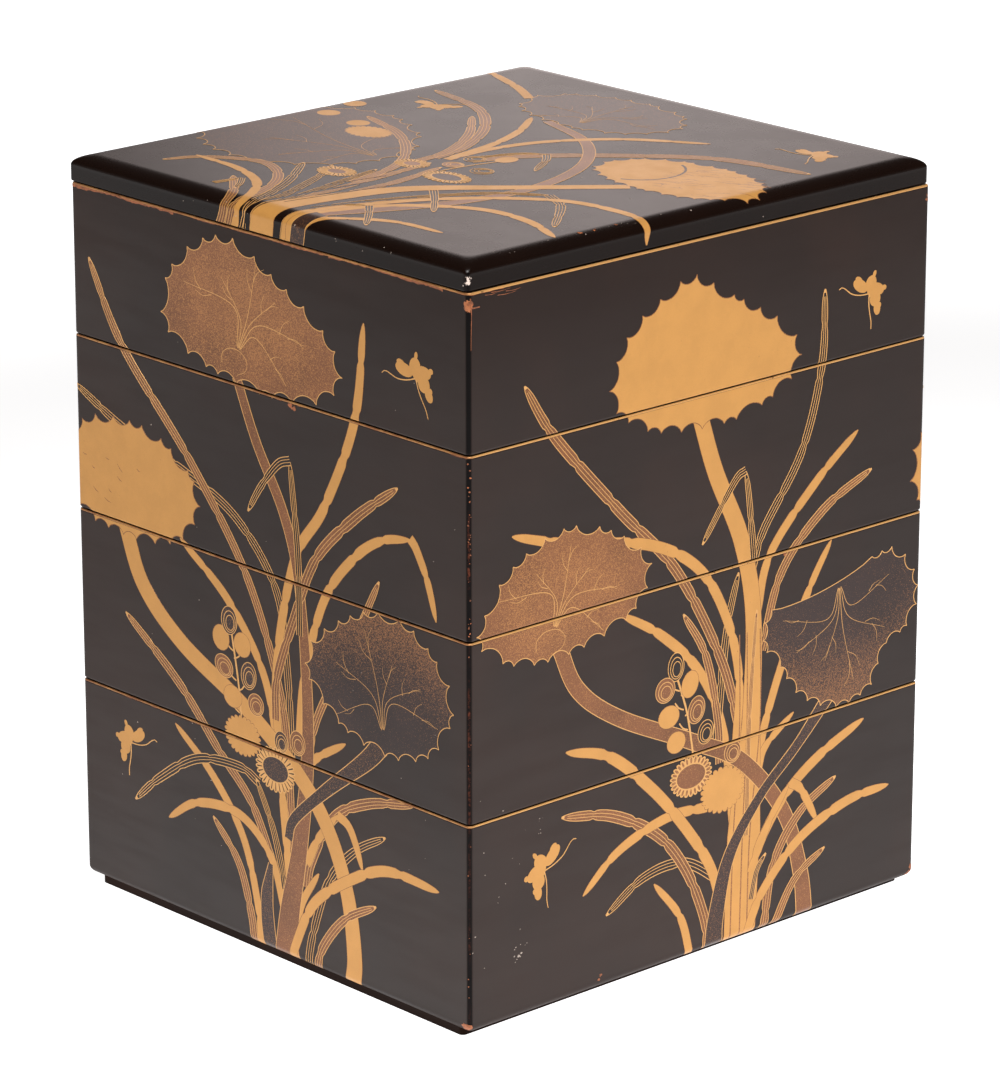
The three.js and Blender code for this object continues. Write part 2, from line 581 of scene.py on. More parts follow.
def shifted(path, distance):
    """The path moved sideways by a distance that may vary along it."""
    along = np.gradient(path, axis=0)
    along /= np.maximum(np.hypot(*along.T), 1e-9)[:, None]
    sideways = np.column_stack((-along[:, 1], along[:, 0]))
    return path + sideways * np.broadcast_to(distance, len(path))[:, None]


def ribbon(path, half_width):
    """The outline of a strip along a path."""
    return np.concatenate((shifted(path, half_width), shifted(path, -half_width)[::-1]))


def ellipse(middle, reach, turn=0.0, steps=28, start=0.0, sweep=360.0):
    """Points round an ellipse that is turned by some degrees."""
    angles = np.radians(start + np.linspace(0, sweep, steps, endpoint=sweep < 360))
    points = np.column_stack((reach[0] * np.cos(angles), reach[1] * np.sin(angles)))
    return turned(points, turn) + np.asarray(middle, float)


def turned(points, degrees):
    """Points turned about the origin."""
    cosine, sine = math.cos(math.radians(degrees)), math.sin(math.radians(degrees))
    return points @ np.array(((cosine, sine), (-sine, cosine)))


class Shape:
    """A closed outline in the flat picture, what it is made of, and where its shading starts."""

    def __init__(self, outline, finish, middle, reach):
        self.outline = outline
        self.finish = finish
        self.middle = middle
        self.reach = reach
        self.low = outline.min(axis=0)
        self.high = outline.max(axis=0)


class Picture:
    """Flat shapes in painting order, later ones over earlier ones."""

    def __init__(self, sizes, seed):
        self.shapes = []
        self.sizes = sizes
        self.random = np.random.default_rng(seed)
        self.origin = np.zeros(2)
        self.scale = np.array((1.0, -1.0))
        self.shade = None
        self.pen = LINE

    def lay(self, outline, finish):
        """Paints one closed outline over what is there."""
        points = np.asarray(outline, float) * self.scale + self.origin
        if self.shade is OUTLYING:
            middle, reach = -FAR_OFF * np.array(OUTLYING), FAR_OFF
        else:
            middle, reach = self.shade or ((0, 0), None)
            middle = np.asarray(middle, float) * self.scale + self.origin
        self.shapes.append(Shape(points, finish, middle, reach))

    def line(self, points, width=None, taper=0.0):
        """A drawn line, which may thin out towards its end."""
        path = smooth_path(points, PATH_STEP)
        half = (width or self.sizes.hairline) / 2
        self.lay(ribbon(path, half * np.linspace(1, 1 - taper, len(path))), self.pen)

    def banded(self, path, half, finish, edge, edge_finish):
        """A strip with an edge of another finish."""
        self.lay(ribbon(path, half), edge_finish)
        inner = half - edge
        wide = inner > NARROWEST
        if wide.sum() > 2:
            self.lay(ribbon(path[wide], inner[wide]), finish)

    def blade(self, finish, width, *points):
        """A grass blade from its tip to its root, jointed now and then."""
        path = smooth_path(points, PATH_STEP)
        along = distances(path)
        tip = 1 - np.clip(1 - along / (BLADE_TIP * width), 0, 1) ** 2
        fullness = np.interp(along, (0, BLADE_FULL_AT), (BLADE_SLIM, 1))
        half = BLADE_HALF * width * np.sqrt(tip) * fullness
        joint = self.random.uniform(*FIRST_JOINT)
        while joint < along[-1] - LAST_JOINT:
            half *= 1 - JOINT_PINCH * np.exp(-((along - joint) / JOINT_LENGTH) ** 2)
            joint += self.random.uniform(*NEXT_JOINT)
        half = np.maximum(half, BLADE_BLUNT)
        self.shade = OUTLYING
        self.strip(path, half, finish)
        if finish != GOLD:
            drawn = (along > INNER_START) & (half > self.sizes.outline + INNER_ROOM)
            for share in INNER_LINES:
                inner_line = shifted(path, half * share)[drawn]
                if len(inner_line) > 3:
                    self.lay(ribbon(inner_line, self.sizes.hairline / 2), self.pen)
        self.shade = None

    def strip(self, path, half, finish):
        """A strip of solid gold edged with red, or of a powder edged with the pen's gold."""
        if finish == GOLD:
            self.banded(path, half, GOLD, GOLD_EDGE, RED)
        else:
            self.banded(path, half, finish, self.sizes.outline, self.pen)

    def folded(self, finish, width, rising, falling):
        """A blade that rises to a peak and folds over. Both runs are given from the peak."""
        self.blade(finish, width, *rising)
        self.blade(finish, width, *falling[::-1])

    def stalk(self, finish, widths, *points):
        """A leaf's stalk from the leaf down, its width changing evenly."""
        path = smooth_path(points, STALK_STEP)
        half = np.interp(np.linspace(0, 1, len(path)), np.linspace(0, 1, len(widths)), widths) / 2
        self.shade = OUTLYING
        self.strip(path, half, finish)
        self.shade = None

    def leaf(self, finish, petiole, hull, spikes=24, whole=0.0, powder=1):
        """A round leaf edged with spikes, which stand along a smooth closed hull.

        Whole is the share of the edge, from the hull's first point on, that is left without
        spikes. Powder is 1 where it crowds towards the top, -1 towards the bottom and 0 where it
        is thin all over."""
        edge = smooth_path(hull, LEAF_STEP, closed=True)
        lengths = distances(edge)
        stray = self.random.uniform(-SPIKE_STRAY, SPIKE_STRAY, spikes)
        shares = whole + (1 - whole) * (np.arange(spikes) + 0.5 + stray) / spikes
        if whole:
            shares = np.concatenate(([0.0, whole], shares))
        at = shares * lengths[-1]
        tips = np.column_stack([np.interp(at, lengths, edge[:, axis]) for axis in (0, 1)])
        low, high = edge.min(axis=0), edge.max(axis=0)
        middle, half = (low + high) / 2, (high - low) / 2
        arcs = [self.scallop(tip, after, middle)
                for tip, after in zip(tips, np.roll(tips, -1, axis=0))]
        self.shade = (middle, (half[0], powder * half[1])) if powder else OUTLYING
        self.lay(np.vstack([arc[:-1] for arc in arcs]), finish)
        rim, rim_width = (RED, RED_RIM) if finish == GOLD else (self.pen, self.sizes.outline)
        weight = 1.0 if finish == DARK else VEIN_WEIGHT
        for arc in arcs:
            self.lay(ribbon(arc, rim_width / 2), rim)
        if finish != GOLD:
            self.veins(middle, half, petiole, finish == RED, self.sizes.hairline * weight)
        self.shade = None

    def scallop(self, start, end, middle):
        """The hollow edge between two spikes."""
        chord = end - start
        length = np.hypot(*chord)
        inward = np.array((-chord[1], chord[0])) / max(length, 1e-9)
        if np.dot(np.asarray(middle) - (start + end) / 2, inward) < 0:
            inward = -inward
        depth = min(SCALLOP_SHARE * length, SCALLOP_DEPTH)
        share = np.linspace(0, 1, SPLINE_STEPS)[:, None]
        return start + chord * share + inward * depth * np.sin(math.pi * share) ** SCALLOP_SHAPE

    def veins(self, middle, half, petiole, ring, width):
        """A fan of curved veins from the petiole, with side twigs and a ring at its foot."""
        foot = np.asarray(petiole, float)
        inward = middle - foot
        facing = math.degrees(math.atan2(inward[1], inward[0]))

        def way(lean):
            return turned(np.array((1.0, 0.0)), facing + lean)

        def room(lean):
            slope, start = way(lean) / half, (foot - middle) / half
            along, both = slope @ slope, slope @ start
            return (-both + math.sqrt(both**2 - along * min(start @ start - 1, 0))) / along

        for lean, share in VEINS:
            length = share * room(lean)
            bend = foot + VEIN_BEND * length * way(VEIN_LEAN * lean)
            end = foot + length * way(lean)
            self.line((foot + VEIN_START * (bend - foot), bend, end), width, VEIN_TAPER)
            for side, start in TWIGS:
                root = bend + (end - bend) * start
                twig = TWIG_LENGTH * length * way(lean + side)
                bow = np.array((TWIG_BOW * twig[1], -TWIG_BOW * twig[0]))
                self.line((root, root + 0.5 * twig + bow, root + twig), TWIG_WEIGHT * width,
                          TWIG_TAPER)
        if not ring:
            return
        ring_middle = foot - RING_OFFSET * way(0)
        self.line(ellipse(ring_middle, RING_REACH, steps=14, start=160, sweep=300)[::2], taper=0.4)

    def bud(self, finish, middle, reach, lean=0.0):
        """A round bud. A lined one has nested rings."""
        if finish == GOLD:
            self.lay(ellipse(middle, reach, lean), RED)
            self.lay(ellipse(middle, np.array(reach) - BUD_EDGE, lean), GOLD)
            return
        self.shade = OUTLYING
        for share, drift in BUD_RINGS:
            at = np.asarray(middle) + (drift * 0.5, drift)
            size = np.array(reach) * share
            self.lay(ellipse(at, size, lean), self.pen)
            self.lay(ellipse(at, size - self.sizes.outline, lean), finish)
        self.shade = None

    def petal_edge(self, middle, reach, petals, notch):
        """The scalloped outline of a flower."""
        angles = np.linspace(0, 2 * math.pi, petals * PETAL_STEPS, endpoint=False)
        swell = 1 - notch + notch * np.abs(np.sin(petals * angles / 2)) ** PETAL_SHAPE
        points = np.column_stack((reach[0] * np.cos(angles), reach[1] * np.sin(angles)))
        return np.asarray(middle, float) + points * swell[:, None]

    def daisy(self, middle, reach, petals=24):
        """A flower of solid gold with many small petals."""
        inner = np.array(reach) - DAISY_EDGE
        self.lay(self.petal_edge(middle, reach, petals, DAISY_NOTCH), RED)
        self.lay(self.petal_edge(middle, inner, petals, DAISY_NOTCH), GOLD)

    def ring_flower(self, middle, reach, disc, heart, petal_fill=BARE, petals=26):
        """A flower with a ring of narrow petals round a powdered disc."""
        self.lay(self.petal_edge(middle, reach, petals, RING_NOTCH), self.pen)
        for k in range(petals):
            angle = 2 * math.pi * (k + 0.5) / petals
            way = np.array((math.cos(angle), math.sin(angle)))
            ends = np.array([np.asarray(middle) + way * np.array(disc) * PETAL_SPAN[0],
                             np.asarray(middle) + way * np.array(reach) * PETAL_SPAN[1]])
            if petal_fill == BARE:
                self.lay(ribbon(ends, np.array(PETAL_SLIT)), BARE)
            else:
                between = (ends[0] + ends[1]) / 2
                self.lay(ellipse(between, PETAL_OVAL, math.degrees(angle), 10), petal_fill)
        self.shade = OUTLYING
        self.lay(ellipse(middle, disc), self.pen)
        self.lay(ellipse(middle, np.array(disc) - self.sizes.outline), heart)
        self.shade = None

    def butterfly(self, middle, lean=0.0, mirrored=False, size=1.0):
        """A small flying butterfly of solid gold with two long feelers."""
        def local(points):
            spread = np.asarray(points, float) * size
            if mirrored:
                spread = spread * (-1, 1)
            return turned(spread, lean) + np.asarray(middle, float)

        for at, reach, turn in WINGS:
            self.lay(local(ellipse(at, reach, turn, 20)), GOLD)
        for feeler in FEELERS:
            self.line(local(feeler), FEELER_WIDTH, FEELER_TAPER)

    def chips(self, count, across, down, size, finish):
        """Small irregular places where the lacquer is chipped or rubbed to its ground."""
        for _ in range(count):
            middle = (self.random.uniform(*across), self.random.uniform(*down))
            radius = self.random.uniform(0.35, 1.0) * size
            reach = (radius * CHIP_BREADTH, radius)
            outline = ellipse((0, 0), reach, self.random.uniform(-30, 30), CHIP_CORNERS)
            outline *= self.random.uniform(0.6, 1.25, (CHIP_CORNERS, 1))
            self.lay(outline + middle, finish)

    def chipped_edge(self, start, end, top, depth, hold=0.35):
        """A ragged band of bare ground along an edge. Hold is the share of it left whole."""
        across = np.arange(start, end, RAGGED_STEP)
        window = np.full(RAGGED_RUN, 1 / RAGGED_RUN)
        broad = np.convolve(self.random.uniform(0, 1, len(across) + RAGGED_RUN - 1), window, "valid")
        ragged = np.clip(broad * 1.6 - hold, 0, 1) + self.random.uniform(-0.12, 0.12, len(across))
        lower = top + np.maximum(ragged, 0.02) * depth
        rim = np.column_stack((across, np.full(len(across), top)))
        self.lay(np.vstack((rim, np.column_stack((across, lower))[::-1])), WORN)

    def scratches(self, count, across, down, length):
        """Short rubs through the gold."""
        for _ in range(count):
            start = np.array((self.random.uniform(*across), self.random.uniform(*down)))
            turn = self.random.uniform(0.1, 0.8)
            run = length * self.random.uniform(0.4, 1.0) * np.array((math.cos(turn), math.sin(turn)))
            path = np.array((start, start + 0.5 * run + (0, 0.3), start + run))
            self.lay(ribbon(path, np.array(SCRATCH)), RED)


# The plants on the sides. Places are millimetres from a face's left edge and down from the top
# tier's rim. Blades are given from tip to root and stalks from the leaf down.

def narrow_face(p, plainer=False):
    """The picture on the front face, which the back face repeats more plainly."""
    p.blade(BARE, 4.4, (0, 80), (30, 92), (62, 100), (95, 112), (118, 135), (124, 165), (126, 200))
    p.blade(RED, 4.6, (10, 28), (29.5, 59), (68, 95), (100, 132), (118, 170), (124, 200), (126, 250))
    p.blade(GOLD, 4.8, (62, 128), (90, 146), (110, 170), (118, 198), (121, 215))
    p.blade(RED, 4.6, (28, 166), (60, 187), (83, 208), (102, 224), (115, 246))
    p.blade(GOLD, 4.6, (57, 204), (80, 220), (97, 240), (105, 265), (107, 283))
    p.blade(GOLD, 4.6, (52, 244), (70, 233), (95, 231), (113, 243), (121, 264))
    p.stalk(DARK, (3, 7, 8, 8), (113, 246), (110.5, 260), (111, 272), (113, 283))
    p.blade(RED, 4.6, (79, 236), (94, 251), (101, 270), (103, 283))
    if not plainer:
        p.blade(BARE, 4.4, (31.5, 242), (47, 229), (70, 215), (95, 211.5), (107, 215))
        p.blade(BARE, 4.0, (105, 213.5), (114, 230), (119, 245), (121, 254))
    p.blade(RED, 4.2, (176.5, 118), (160, 148), (147, 169), (139, 185), (134, 206))
    p.folded(GOLD, 4.8, ((193.5, 98), (178, 102), (163, 112), (146, 132), (134, 165), (130, 195)),
             ((193.5, 97.5), (197, 101), (203, 112), (207.5, 126)))
    p.blade(GOLD, 5.2, (169, 22), (163.5, 60), (146, 97), (129, 121), (118, 165), (119, 200),
            (124, 250), (127, 283))
    p.blade(GOLD, 4.6, (157, 186), (139, 197), (133, 206))
    p.blade(BARE, 4.4, (179, 217), (162, 227), (147, 243), (137, 268), (134, 283))
    p.blade(RED, 4.8, (195, 200), (170, 206), (150, 217), (137, 238), (134, 250))
    p.blade(GOLD, 4.6, (141, 242), (132, 255), (128, 265))
    p.folded(GOLD, 5.0, ((152, 215.5), (141, 228), (134, 240)),
             ((152, 215.5), (158, 218), (162, 224), (166, 234)))
    p.stalk(RED, (5, 5.5, 5.5, 7, 9, 13), (97, 57), (108, 80), (123, 104), (131, 128), (135, 165),
            (135, 200), (130, 235), (124, 262), (121, 283))
    p.blade(RED, 5.0, (187, 80), (163, 97), (141, 118), (128, 145), (118, 170), (117, 187))
    p.folded(BARE, 4.0, ((127, 83.5), (129, 100), (131, 120), (131.5, 150)),
             ((127, 83), (120, 86), (110, 97), (102.5, 108)))
    p.stalk(GOLD, (9, 8, 7.5, 8, 8, 9), (28, 128), (39, 152), (62, 170), (98, 186), (128, 204),
            (146, 222), (157, 245), (161, 270), (159.5, 283))
    p.blade(RED, 4.6, (173.5, 246), (156, 256), (143, 271), (139, 283))
    p.blade(GOLD, 5.0, (208.5, 230), (180, 230), (158, 240), (138, 255), (127, 275), (125, 283))
    p.stalk(DARK, (9, 6.5, 5.2, 5), (177, 181), (168, 190), (145, 208), (127, 224), (123.5, 233))
    p.leaf(RED, (98, 47), ((93, 4), (120, 15), (145, 28), (157, 45), (140, 59), (98, 60), (62, 51),
                           (53, 36), (66, 15)), 24)
    p.leaf(GOLD, (28, 128), ((-8, 110), (4, 93), (26, 88), (52, 91), (74, 107), (67, 126), (47, 134),
                             (18, 134), (0, 129)), 23)
    p.leaf(DARK, (178, 176), ((148, 142), (170, 131), (190, 130), (210, 143), (217, 158), (205, 178),
                              (182, 185), (158, 181), (138, 168), (135, 154)), 24)
    p.scratches(9, (-2, 45), (104, 128), 5)
    cluster(p, (91.5, 157), (98, 205))
    for finish, x, y, wide, high, lean in (
            (GOLD, 85.5, 162, 5, 5.2, 0), (GOLD, 98, 162, 5, 5, 0), (DARK, 90.5, 154, 4.7, 5.8, 5),
            (RED, 87, 173, 5.5, 4.5, 20), (DARK, 101.5, 173.5, 4.5, 5.6, 10),
            (GOLD, 92, 184, 5.5, 4.6, 0), (RED, 105.5, 184, 4.7, 4.5, 0),
            (DARK, 120, 195, 4, 4.4, 0), (RED, 129.5, 193, 4.5, 5, 0)):
        p.bud(finish, (x, y), (wide, high), lean)
    p.daisy((97.5, 198.5), (10.8, 8.2))
    p.ring_flower((116.5, 207), (11.6, 9.2), (7.6, 5.1), DARK)
    if not plainer:
        p.butterfly((197, 36.5))
        p.butterfly((29.3, 219), -20, True, 0.92)


def wide_face(p, plainer=False):
    """The picture on the right face, which the left side repeats more plainly."""
    p.blade(BARE, 4.4, (181, 31), (180, 60), (170, 92), (150, 119), (144, 134))
    p.blade(GOLD, 4.8, (200.5, 90), (178, 106), (154, 129), (147, 152))
    p.blade(RED, 4.6, (208.5, 107), (182, 118), (160, 138), (150, 167))
    p.blade(GOLD, 4.8, (187, 131), (176, 147), (162, 173), (152, 198), (149, 212))
    p.blade(GOLD, 4.6, (168, 196), (153, 206), (149, 215))
    p.blade(GOLD, 4.8, (76, 136), (97, 149), (117, 168), (130, 195), (136, 235))
    p.blade(BARE, 4.4, (137, 133), (132, 150), (129, 170), (126, 200))
    p.blade(RED, 4.4, (108, 143), (120, 162), (127, 190), (128, 207))
    p.blade(RED, 5.0, (27, 39), (42, 61), (75, 96), (104, 125), (128, 165), (139, 197))
    p.blade(GOLD, 5.0, (21, 94), (50, 103), (90, 112), (116, 127), (131, 150), (138, 175), (137, 200))
    p.blade(BARE, 4.6, (69, 253), (88, 243), (108, 242), (124, 251), (132, 260))
    p.blade(RED, 5.2, (46, 208), (72, 214), (96, 228), (111, 246), (121, 268), (123, 283))
    if not plainer:
        p.blade(GOLD, 4.8, (57, 242), (75, 229), (100, 222), (122, 223))
        p.blade(GOLD, 4.4, (94, 247), (108, 264), (114, 283))
    p.blade(GOLD, 5.4, (48, 183), (70, 190), (92, 208), (110, 228), (124, 248), (130, 266))
    p.stalk(GOLD, (8, 8, 8.5, 10, 18, 17), (115, 66), (124, 91), (138, 120), (145, 150), (145, 190),
            (142, 235), (140, 283))
    p.pen = RED
    for across, foot in ((138, 135), (142, 140), (149, 144)):
        p.line(((across, 158), (across + 0.6, 196), (foot + 1, 240), (foot, 283)), 0.5, -0.4)
    p.pen = LINE
    p.blade(RED, 2.6, (147, 150), (144, 190), (143, 240))
    p.stalk(RED, (7.5, 6.5, 6.5, 7, 7, 9), (44, 140), (54, 160), (75, 176), (112, 194), (140, 209),
            (163, 235), (173, 262), (176, 283))
    p.blade(RED, 4.4, (186.5, 256), (170, 265), (158, 283))
    p.blade(RED, 4.8, (192, 228), (172, 238), (158, 256), (153, 283))
    p.blade(GOLD, 5.4, (207, 208), (183, 217), (165, 228), (152, 243), (146, 256))
    p.folded(GOLD, 5.0, ((166, 225), (158, 234), (152, 243)), ((167, 224.5), (173, 229), (182, 244)))
    p.blade(GOLD, 5.2, (222, 239), (198, 240), (172, 249), (152, 266), (143, 283))
    p.blade(DARK, 3.6, (154, 250), (149, 256), (146, 267))
    p.folded(BARE, 3.8, ((140, 94), (142, 105), (145, 130)), ((140, 93.6), (134, 97), (117.5, 118)))
    p.stalk(DARK, (7, 5.2, 5, 6, 8, 10), (188, 193), (170, 210), (150, 226), (134, 246), (127, 270),
            (126, 283))
    p.leaf(GOLD, (114, 66), ((69, 52), (78, 30), (95, 19), (112, 13), (128, 22), (147, 32), (165, 44),
                             (167, 60), (140, 72), (106, 72), (84, 66)), 25)
    p.leaf(RED, (42, 134), ((6, 124), (18, 108), (42, 97), (66, 100), (91, 118), (81, 137), (51, 145),
                            (24, 144), (5, 133)), 24)
    p.leaf(DARK, (192, 150), ((155, 152), (180, 148), (208, 143), (224, 142), (236, 158), (232, 174),
                              (215, 182), (214, 193), (194, 200), (172, 191), (160, 176), (151, 165)),
           22, 0.24, -1)
    cluster(p, (105, 167), (114, 200))
    for finish, x, y, wide, high, lean in (
            (BARE, 104.5, 163, 4.3, 5.8, 0), (RED, 99, 171, 5.2, 5, 0), (GOLD, 112, 171.5, 4.5, 5.5, 20),
            (GOLD, 101, 182, 5.6, 4.6, 0), (RED, 115.5, 182.5, 4.5, 5.6, 15), (GOLD, 105, 193, 5, 4.4, 0),
            (BARE, 120.5, 192.5, 4.2, 4.9, 15), (RED, 135, 204, 4.5, 4.5, 0)):
        p.bud(finish, (x, y), (wide, high), lean)
    p.ring_flower((113, 208.5), (11.2, 8.2), (7.8, 5), RED, RED)
    p.daisy((130, 218), (12, 9.5))
    if not plainer:
        p.butterfly((205, 37), 20, False, 0.93)
        p.butterfly((37.3, 226.5), -33, True, 1.0)


def cluster(p, top, foot):
    """The thin stem that carries the buds, with its side stems."""
    top, foot = np.array(top, float), np.array(foot, float)
    p.line((top, (top + foot) / 2 + (1, -1), foot), 0.9)
    for share, side in ((0.18, -1), (0.24, 1), (0.42, -1), (0.5, 1), (0.68, -1)):
        root = top + (foot - top) * share
        p.line((root, root + (2.6 * side, -1.2), root + (4.6 * side, -3.6)), 0.6)


def face_wear(p):
    """Chips, rubs and bare edges on the two sides in front."""
    for start, end, top, depth, hold in (
            (0, 62, 0.6, 1.7, 0.2), (62, 150, 0.6, 0.9, 0.35), (150, 212, 0.6, 1.6, 0.35),
            (212, 244, 0.6, 0.8, 0.4), (120, 225, 60.6, 0.7, 0.5), (20, 120, 200.6, 0.6, 0.5)):
        p.chipped_edge(start, end, top, depth, hold)
    for count, across, down, size, finish in (
            (3, (125, 132), (61.5, 62.5), 0.9, WORN), (2, (384, 393), (130.8, 131.4), 1.2, WORN),
            (30, (224.6, 226.0), (62, 128), 0.4, WORN), (10, (224.4, 225.8), (132, 276), 0.3, WORN),
            (6, (223.4, 226.6), (2.4, 5.2), 0.75, WORN), (2, (249, 251), (255, 257), 0.8, PALE),
            (9, (247, 254), (252, 259), 0.32, PALE), (6, (258, 262), (205, 212), 0.26, PALE),
            (14, (226, 262), (190, 262), 0.3, PALE), (26, (20, 224), (4, 270), 0.22, PALE),
            (3, (221.5, 225.5), (278, 280.5), 1.5, WORN), (3, (460, 462), (3, 8), 0.9, WORN),
            (3, (459, 462), (276, 280), 1.3, WORN), (2, (290, 292), (276, 279.5), 1.2, WORN)):
        p.chips(count, across, down, size, finish)
    p.pen = WORN
    p.line(((226.0, 2), (226.5, 8), (226.3, 14), (226.2, 21)), 0.4, 0.6)
    p.line(((226, 5.6), (228, 5.7), (230.5, 5.7)), 0.5)
    for across, down, length in ((233, 1.9, 6), (236, 1.4, 9), (239, 3.0, 9), (243, 2.2, 7)):
        rub = ((across, down), (across + length / 2, down + 0.3), (across + length, down))
        p.line(rub, 0.24, 0.7)
    p.pen = LINE


def lid_picture(p):
    """The picture on the lid, from its left edge and its front edge. It runs over two edges."""
    p.leaf(DARK, (95, 178), ((48, 196), (60, 214), (88, 221), (116, 215), (130, 196), (118, 176),
                             (92, 170), (62, 177)), 26, 0.0, 0)
    p.leaf(DARK, (82, 84), ((-8, 92), (2, 122), (30, 134), (64, 122), (87, 96), (84, 66), (60, 46),
                            (28, 46), (2, 62)), 28, 0.0, 0)
    p.blade(RED, 6.0, (214, 184), (174, 176), (144, 152), (121, 126), (112, 105))
    p.blade(RED, 5.0, (14, 175), (49, 166), (76, 145), (94, 118), (99, 98))
    p.blade(RED, 4.4, (58, 155), (80, 133), (95, 108), (99, 84))
    p.blade(RED, 4.6, (30, 125), (59, 115), (83, 98), (99, 78), (107, 50))
    p.stalk(RED, (4, 5, 5.5, 6, 7, 8), (84, 171), (119, 158), (146, 131), (159, 94), (156, 58),
            (144, 28), (134, 8), (130, -14))
    p.folded(BARE, 4.0, ((124, 133), (116, 126), (109, 108)), ((124, 133), (131, 126), (140, 112)))
    p.blade(RED, 4.6, (31, 21), (39, 36), (61, 46), (84, 33), (97, 8), (93, -14))
    p.blade(RED, 4.6, (69, 24), (86, 10), (92, 0), (87, -14))
    p.folded(BARE, 3.6, ((74, 24), (72, 12)), ((74, 24), (80, 18), (84, 12)))
    p.blade(RED, 4.4, (104, 92), (108, 60), (111, 30), (106, -14))
    p.blade(GOLD, 4.6, (154, 191), (126, 172), (109, 148), (103, 124), (104, 100))
    p.blade(GOLD, 4.4, (75, 171), (89, 151), (98, 129), (103, 104))
    p.blade(GOLD, 4.6, (-6, 217), (14, 210), (34, 202), (50, 193))
    p.blade(GOLD, 4.4, (34, 35), (61, 33), (84, 23), (99, 3), (96, -14))
    p.blade(BARE, 4.4, (71, 57), (91, 31), (104, 3), (101, -14))
    p.blade(BARE, 4.2, (82, 62), (94, 42), (106, 12), (104, -14))
    p.blade(BARE, 4.4, (98, 70), (104, 45), (110, 15), (108, -14))
    p.blade(RED, 4.6, (112, 90), (118, 60), (118, 30), (116, 10), (110, -14))
    p.folded(BARE, 4.2, ((171, 90), (154, 76), (140, 52), (130, 26), (122, -14)),
             ((171, 90), (186, 82), (207, 59)))
    p.blade(GOLD, 4.8, (231, 88), (226, 88.5), (206, 92), (179, 87), (151, 61), (133, 24), (125, -14))
    p.blade(GOLD, 4.8, (218, 49), (194, 58), (169, 57), (144, 38), (133, 12), (127, -14))
    p.blade(GOLD, 4.2, (186, 24), (162, 22), (144, 10), (136, -2), (132, -14))
    p.stalk(DARK, (8, 8), (136, 10), (132, -14))
    p.folded(BARE, 3.8, ((134, 66), (128, 60)), ((134, 66), (146, 56), (161, 42)))
    p.folded(BARE, 3.8, ((138, 31), (131, 26)), ((138, 31), (148, 22), (159, 11)))
    p.stalk(GOLD, (6, 6, 7, 8.5, 11, 14), (182, 121), (154, 89), (129, 59), (119, 29), (115, 4),
            (112, -14))
    p.pen = BARE
    p.line(((112, 62), (109, 32), (106.5, 6), (105, -14)), 1.5, -0.6)
    p.line(((141, 52), (131, 30), (124.5, 6), (121.5, -14)), 1.5, -0.6)
    p.line(((108, 66), (103, 34), (101.5, 6), (100.4, -14)), 0.7)
    p.line(((121, 60), (116, 32), (112.5, 12)), 0.7)
    p.pen = LINE
    p.leaf(GOLD, (182, 122), ((147, 143), (158, 160), (186, 167), (209, 163), (222, 152), (224, 139),
                              (213, 126), (196, 121), (170, 122), (152, 130)), 30)
    p.pen = DARK
    p.line(ellipse((165, 143), (17, 17), steps=18, start=-70, sweep=140), 1.0)
    p.scratches(60, (176, 216), (127, 160), 9)
    p.chips(14, (176, 212), (128, 160), 0.6, RED)
    p.pen = LINE
    p.line(((120, 112), (117, 98), (116, 86)), 0.7)
    for finish, x, y, wide, high in (
            (GOLD, 120, 116, 4.2, 5), (BARE, 111, 108, 4.4, 4.4), (BARE, 127, 97, 5, 4.4),
            (RED, 112, 96, 4.6, 4), (GOLD, 15, 118, 5, 4.6), (GOLD, 10, 136, 5, 4.6),
            (GOLD, 36, 115, 5, 4.6)):
        p.bud(finish, (x, y), (wide, high))
    p.daisy((50, 108), (11, 8))
    p.ring_flower((90, 57), (9, 6.5), (4.5, 3), RED, BARE, 20)
    p.ring_flower((100, 86), (8, 6), (4, 3), RED, BARE, 20)
    p.ring_flower((125, 81), (11.5, 7.2), (7.4, 4.2), DARK)
    p.butterfly((33.7, 158.3), -12, False, 0.95)
    p.butterfly((193.5, 206.8), 186, True, 0.95)


def lid_wear(p):
    """Small pale specks and rubs on the lid's edges."""
    for count, across, down, size, finish in (
            (9, (130, 214), (-4.5, 1.0), 0.27, PALE), (7, (60, 120), (-4.5, 1.0), 0.27, PALE),
            (12, (217.5, 221.5), (14, 120), 0.3, PALE), (5, (218.5, 220), (60, 82), 0.6, WORN),
            (16, (70, 200), (8, 120), 0.3, PALE)):
        p.chips(count, across, down, size, finish)


# Cutting the picture into films

def clipped(starts, ends, low, high):
    """The stretches of some segments that lie inside a rectangle."""
    run = ends - starts
    near = np.zeros(len(run))
    far = np.ones(len(run))
    for axis in (0, 1):
        level_run = np.abs(run[:, axis]) < 1e-9
        safe = np.where(level_run, 1.0, run[:, axis])
        one = (low[axis] - starts[:, axis]) / safe
        other = (high[axis] - starts[:, axis]) / safe
        outside = level_run & ((starts[:, axis] < low[axis]) | (starts[:, axis] > high[axis]))
        near = np.maximum(near, np.where(level_run, -np.inf, np.minimum(one, other)))
        far = np.minimum(far, np.where(level_run, np.inf, np.maximum(one, other)))
        far[outside] = -1
    kept = far - near > 1e-5
    start = starts + run * near[:, None]
    end = starts + run * far[:, None]
    return start[kept], end[kept]


def inside(points, outline):
    """Which points an outline winds round."""
    x, y = points[:, :1], points[:, 1:]
    x0, y0 = outline[:, 0], outline[:, 1]
    x1, y1 = np.roll(x0, -1), np.roll(y0, -1)
    left = (x1 - x0) * (y - y0) - (x - x0) * (y1 - y0) > 0
    rising = (y0 <= y) & (y1 > y) & left
    falling = (y0 > y) & (y1 <= y) & ~left
    return rising.sum(axis=1) != falling.sum(axis=1)


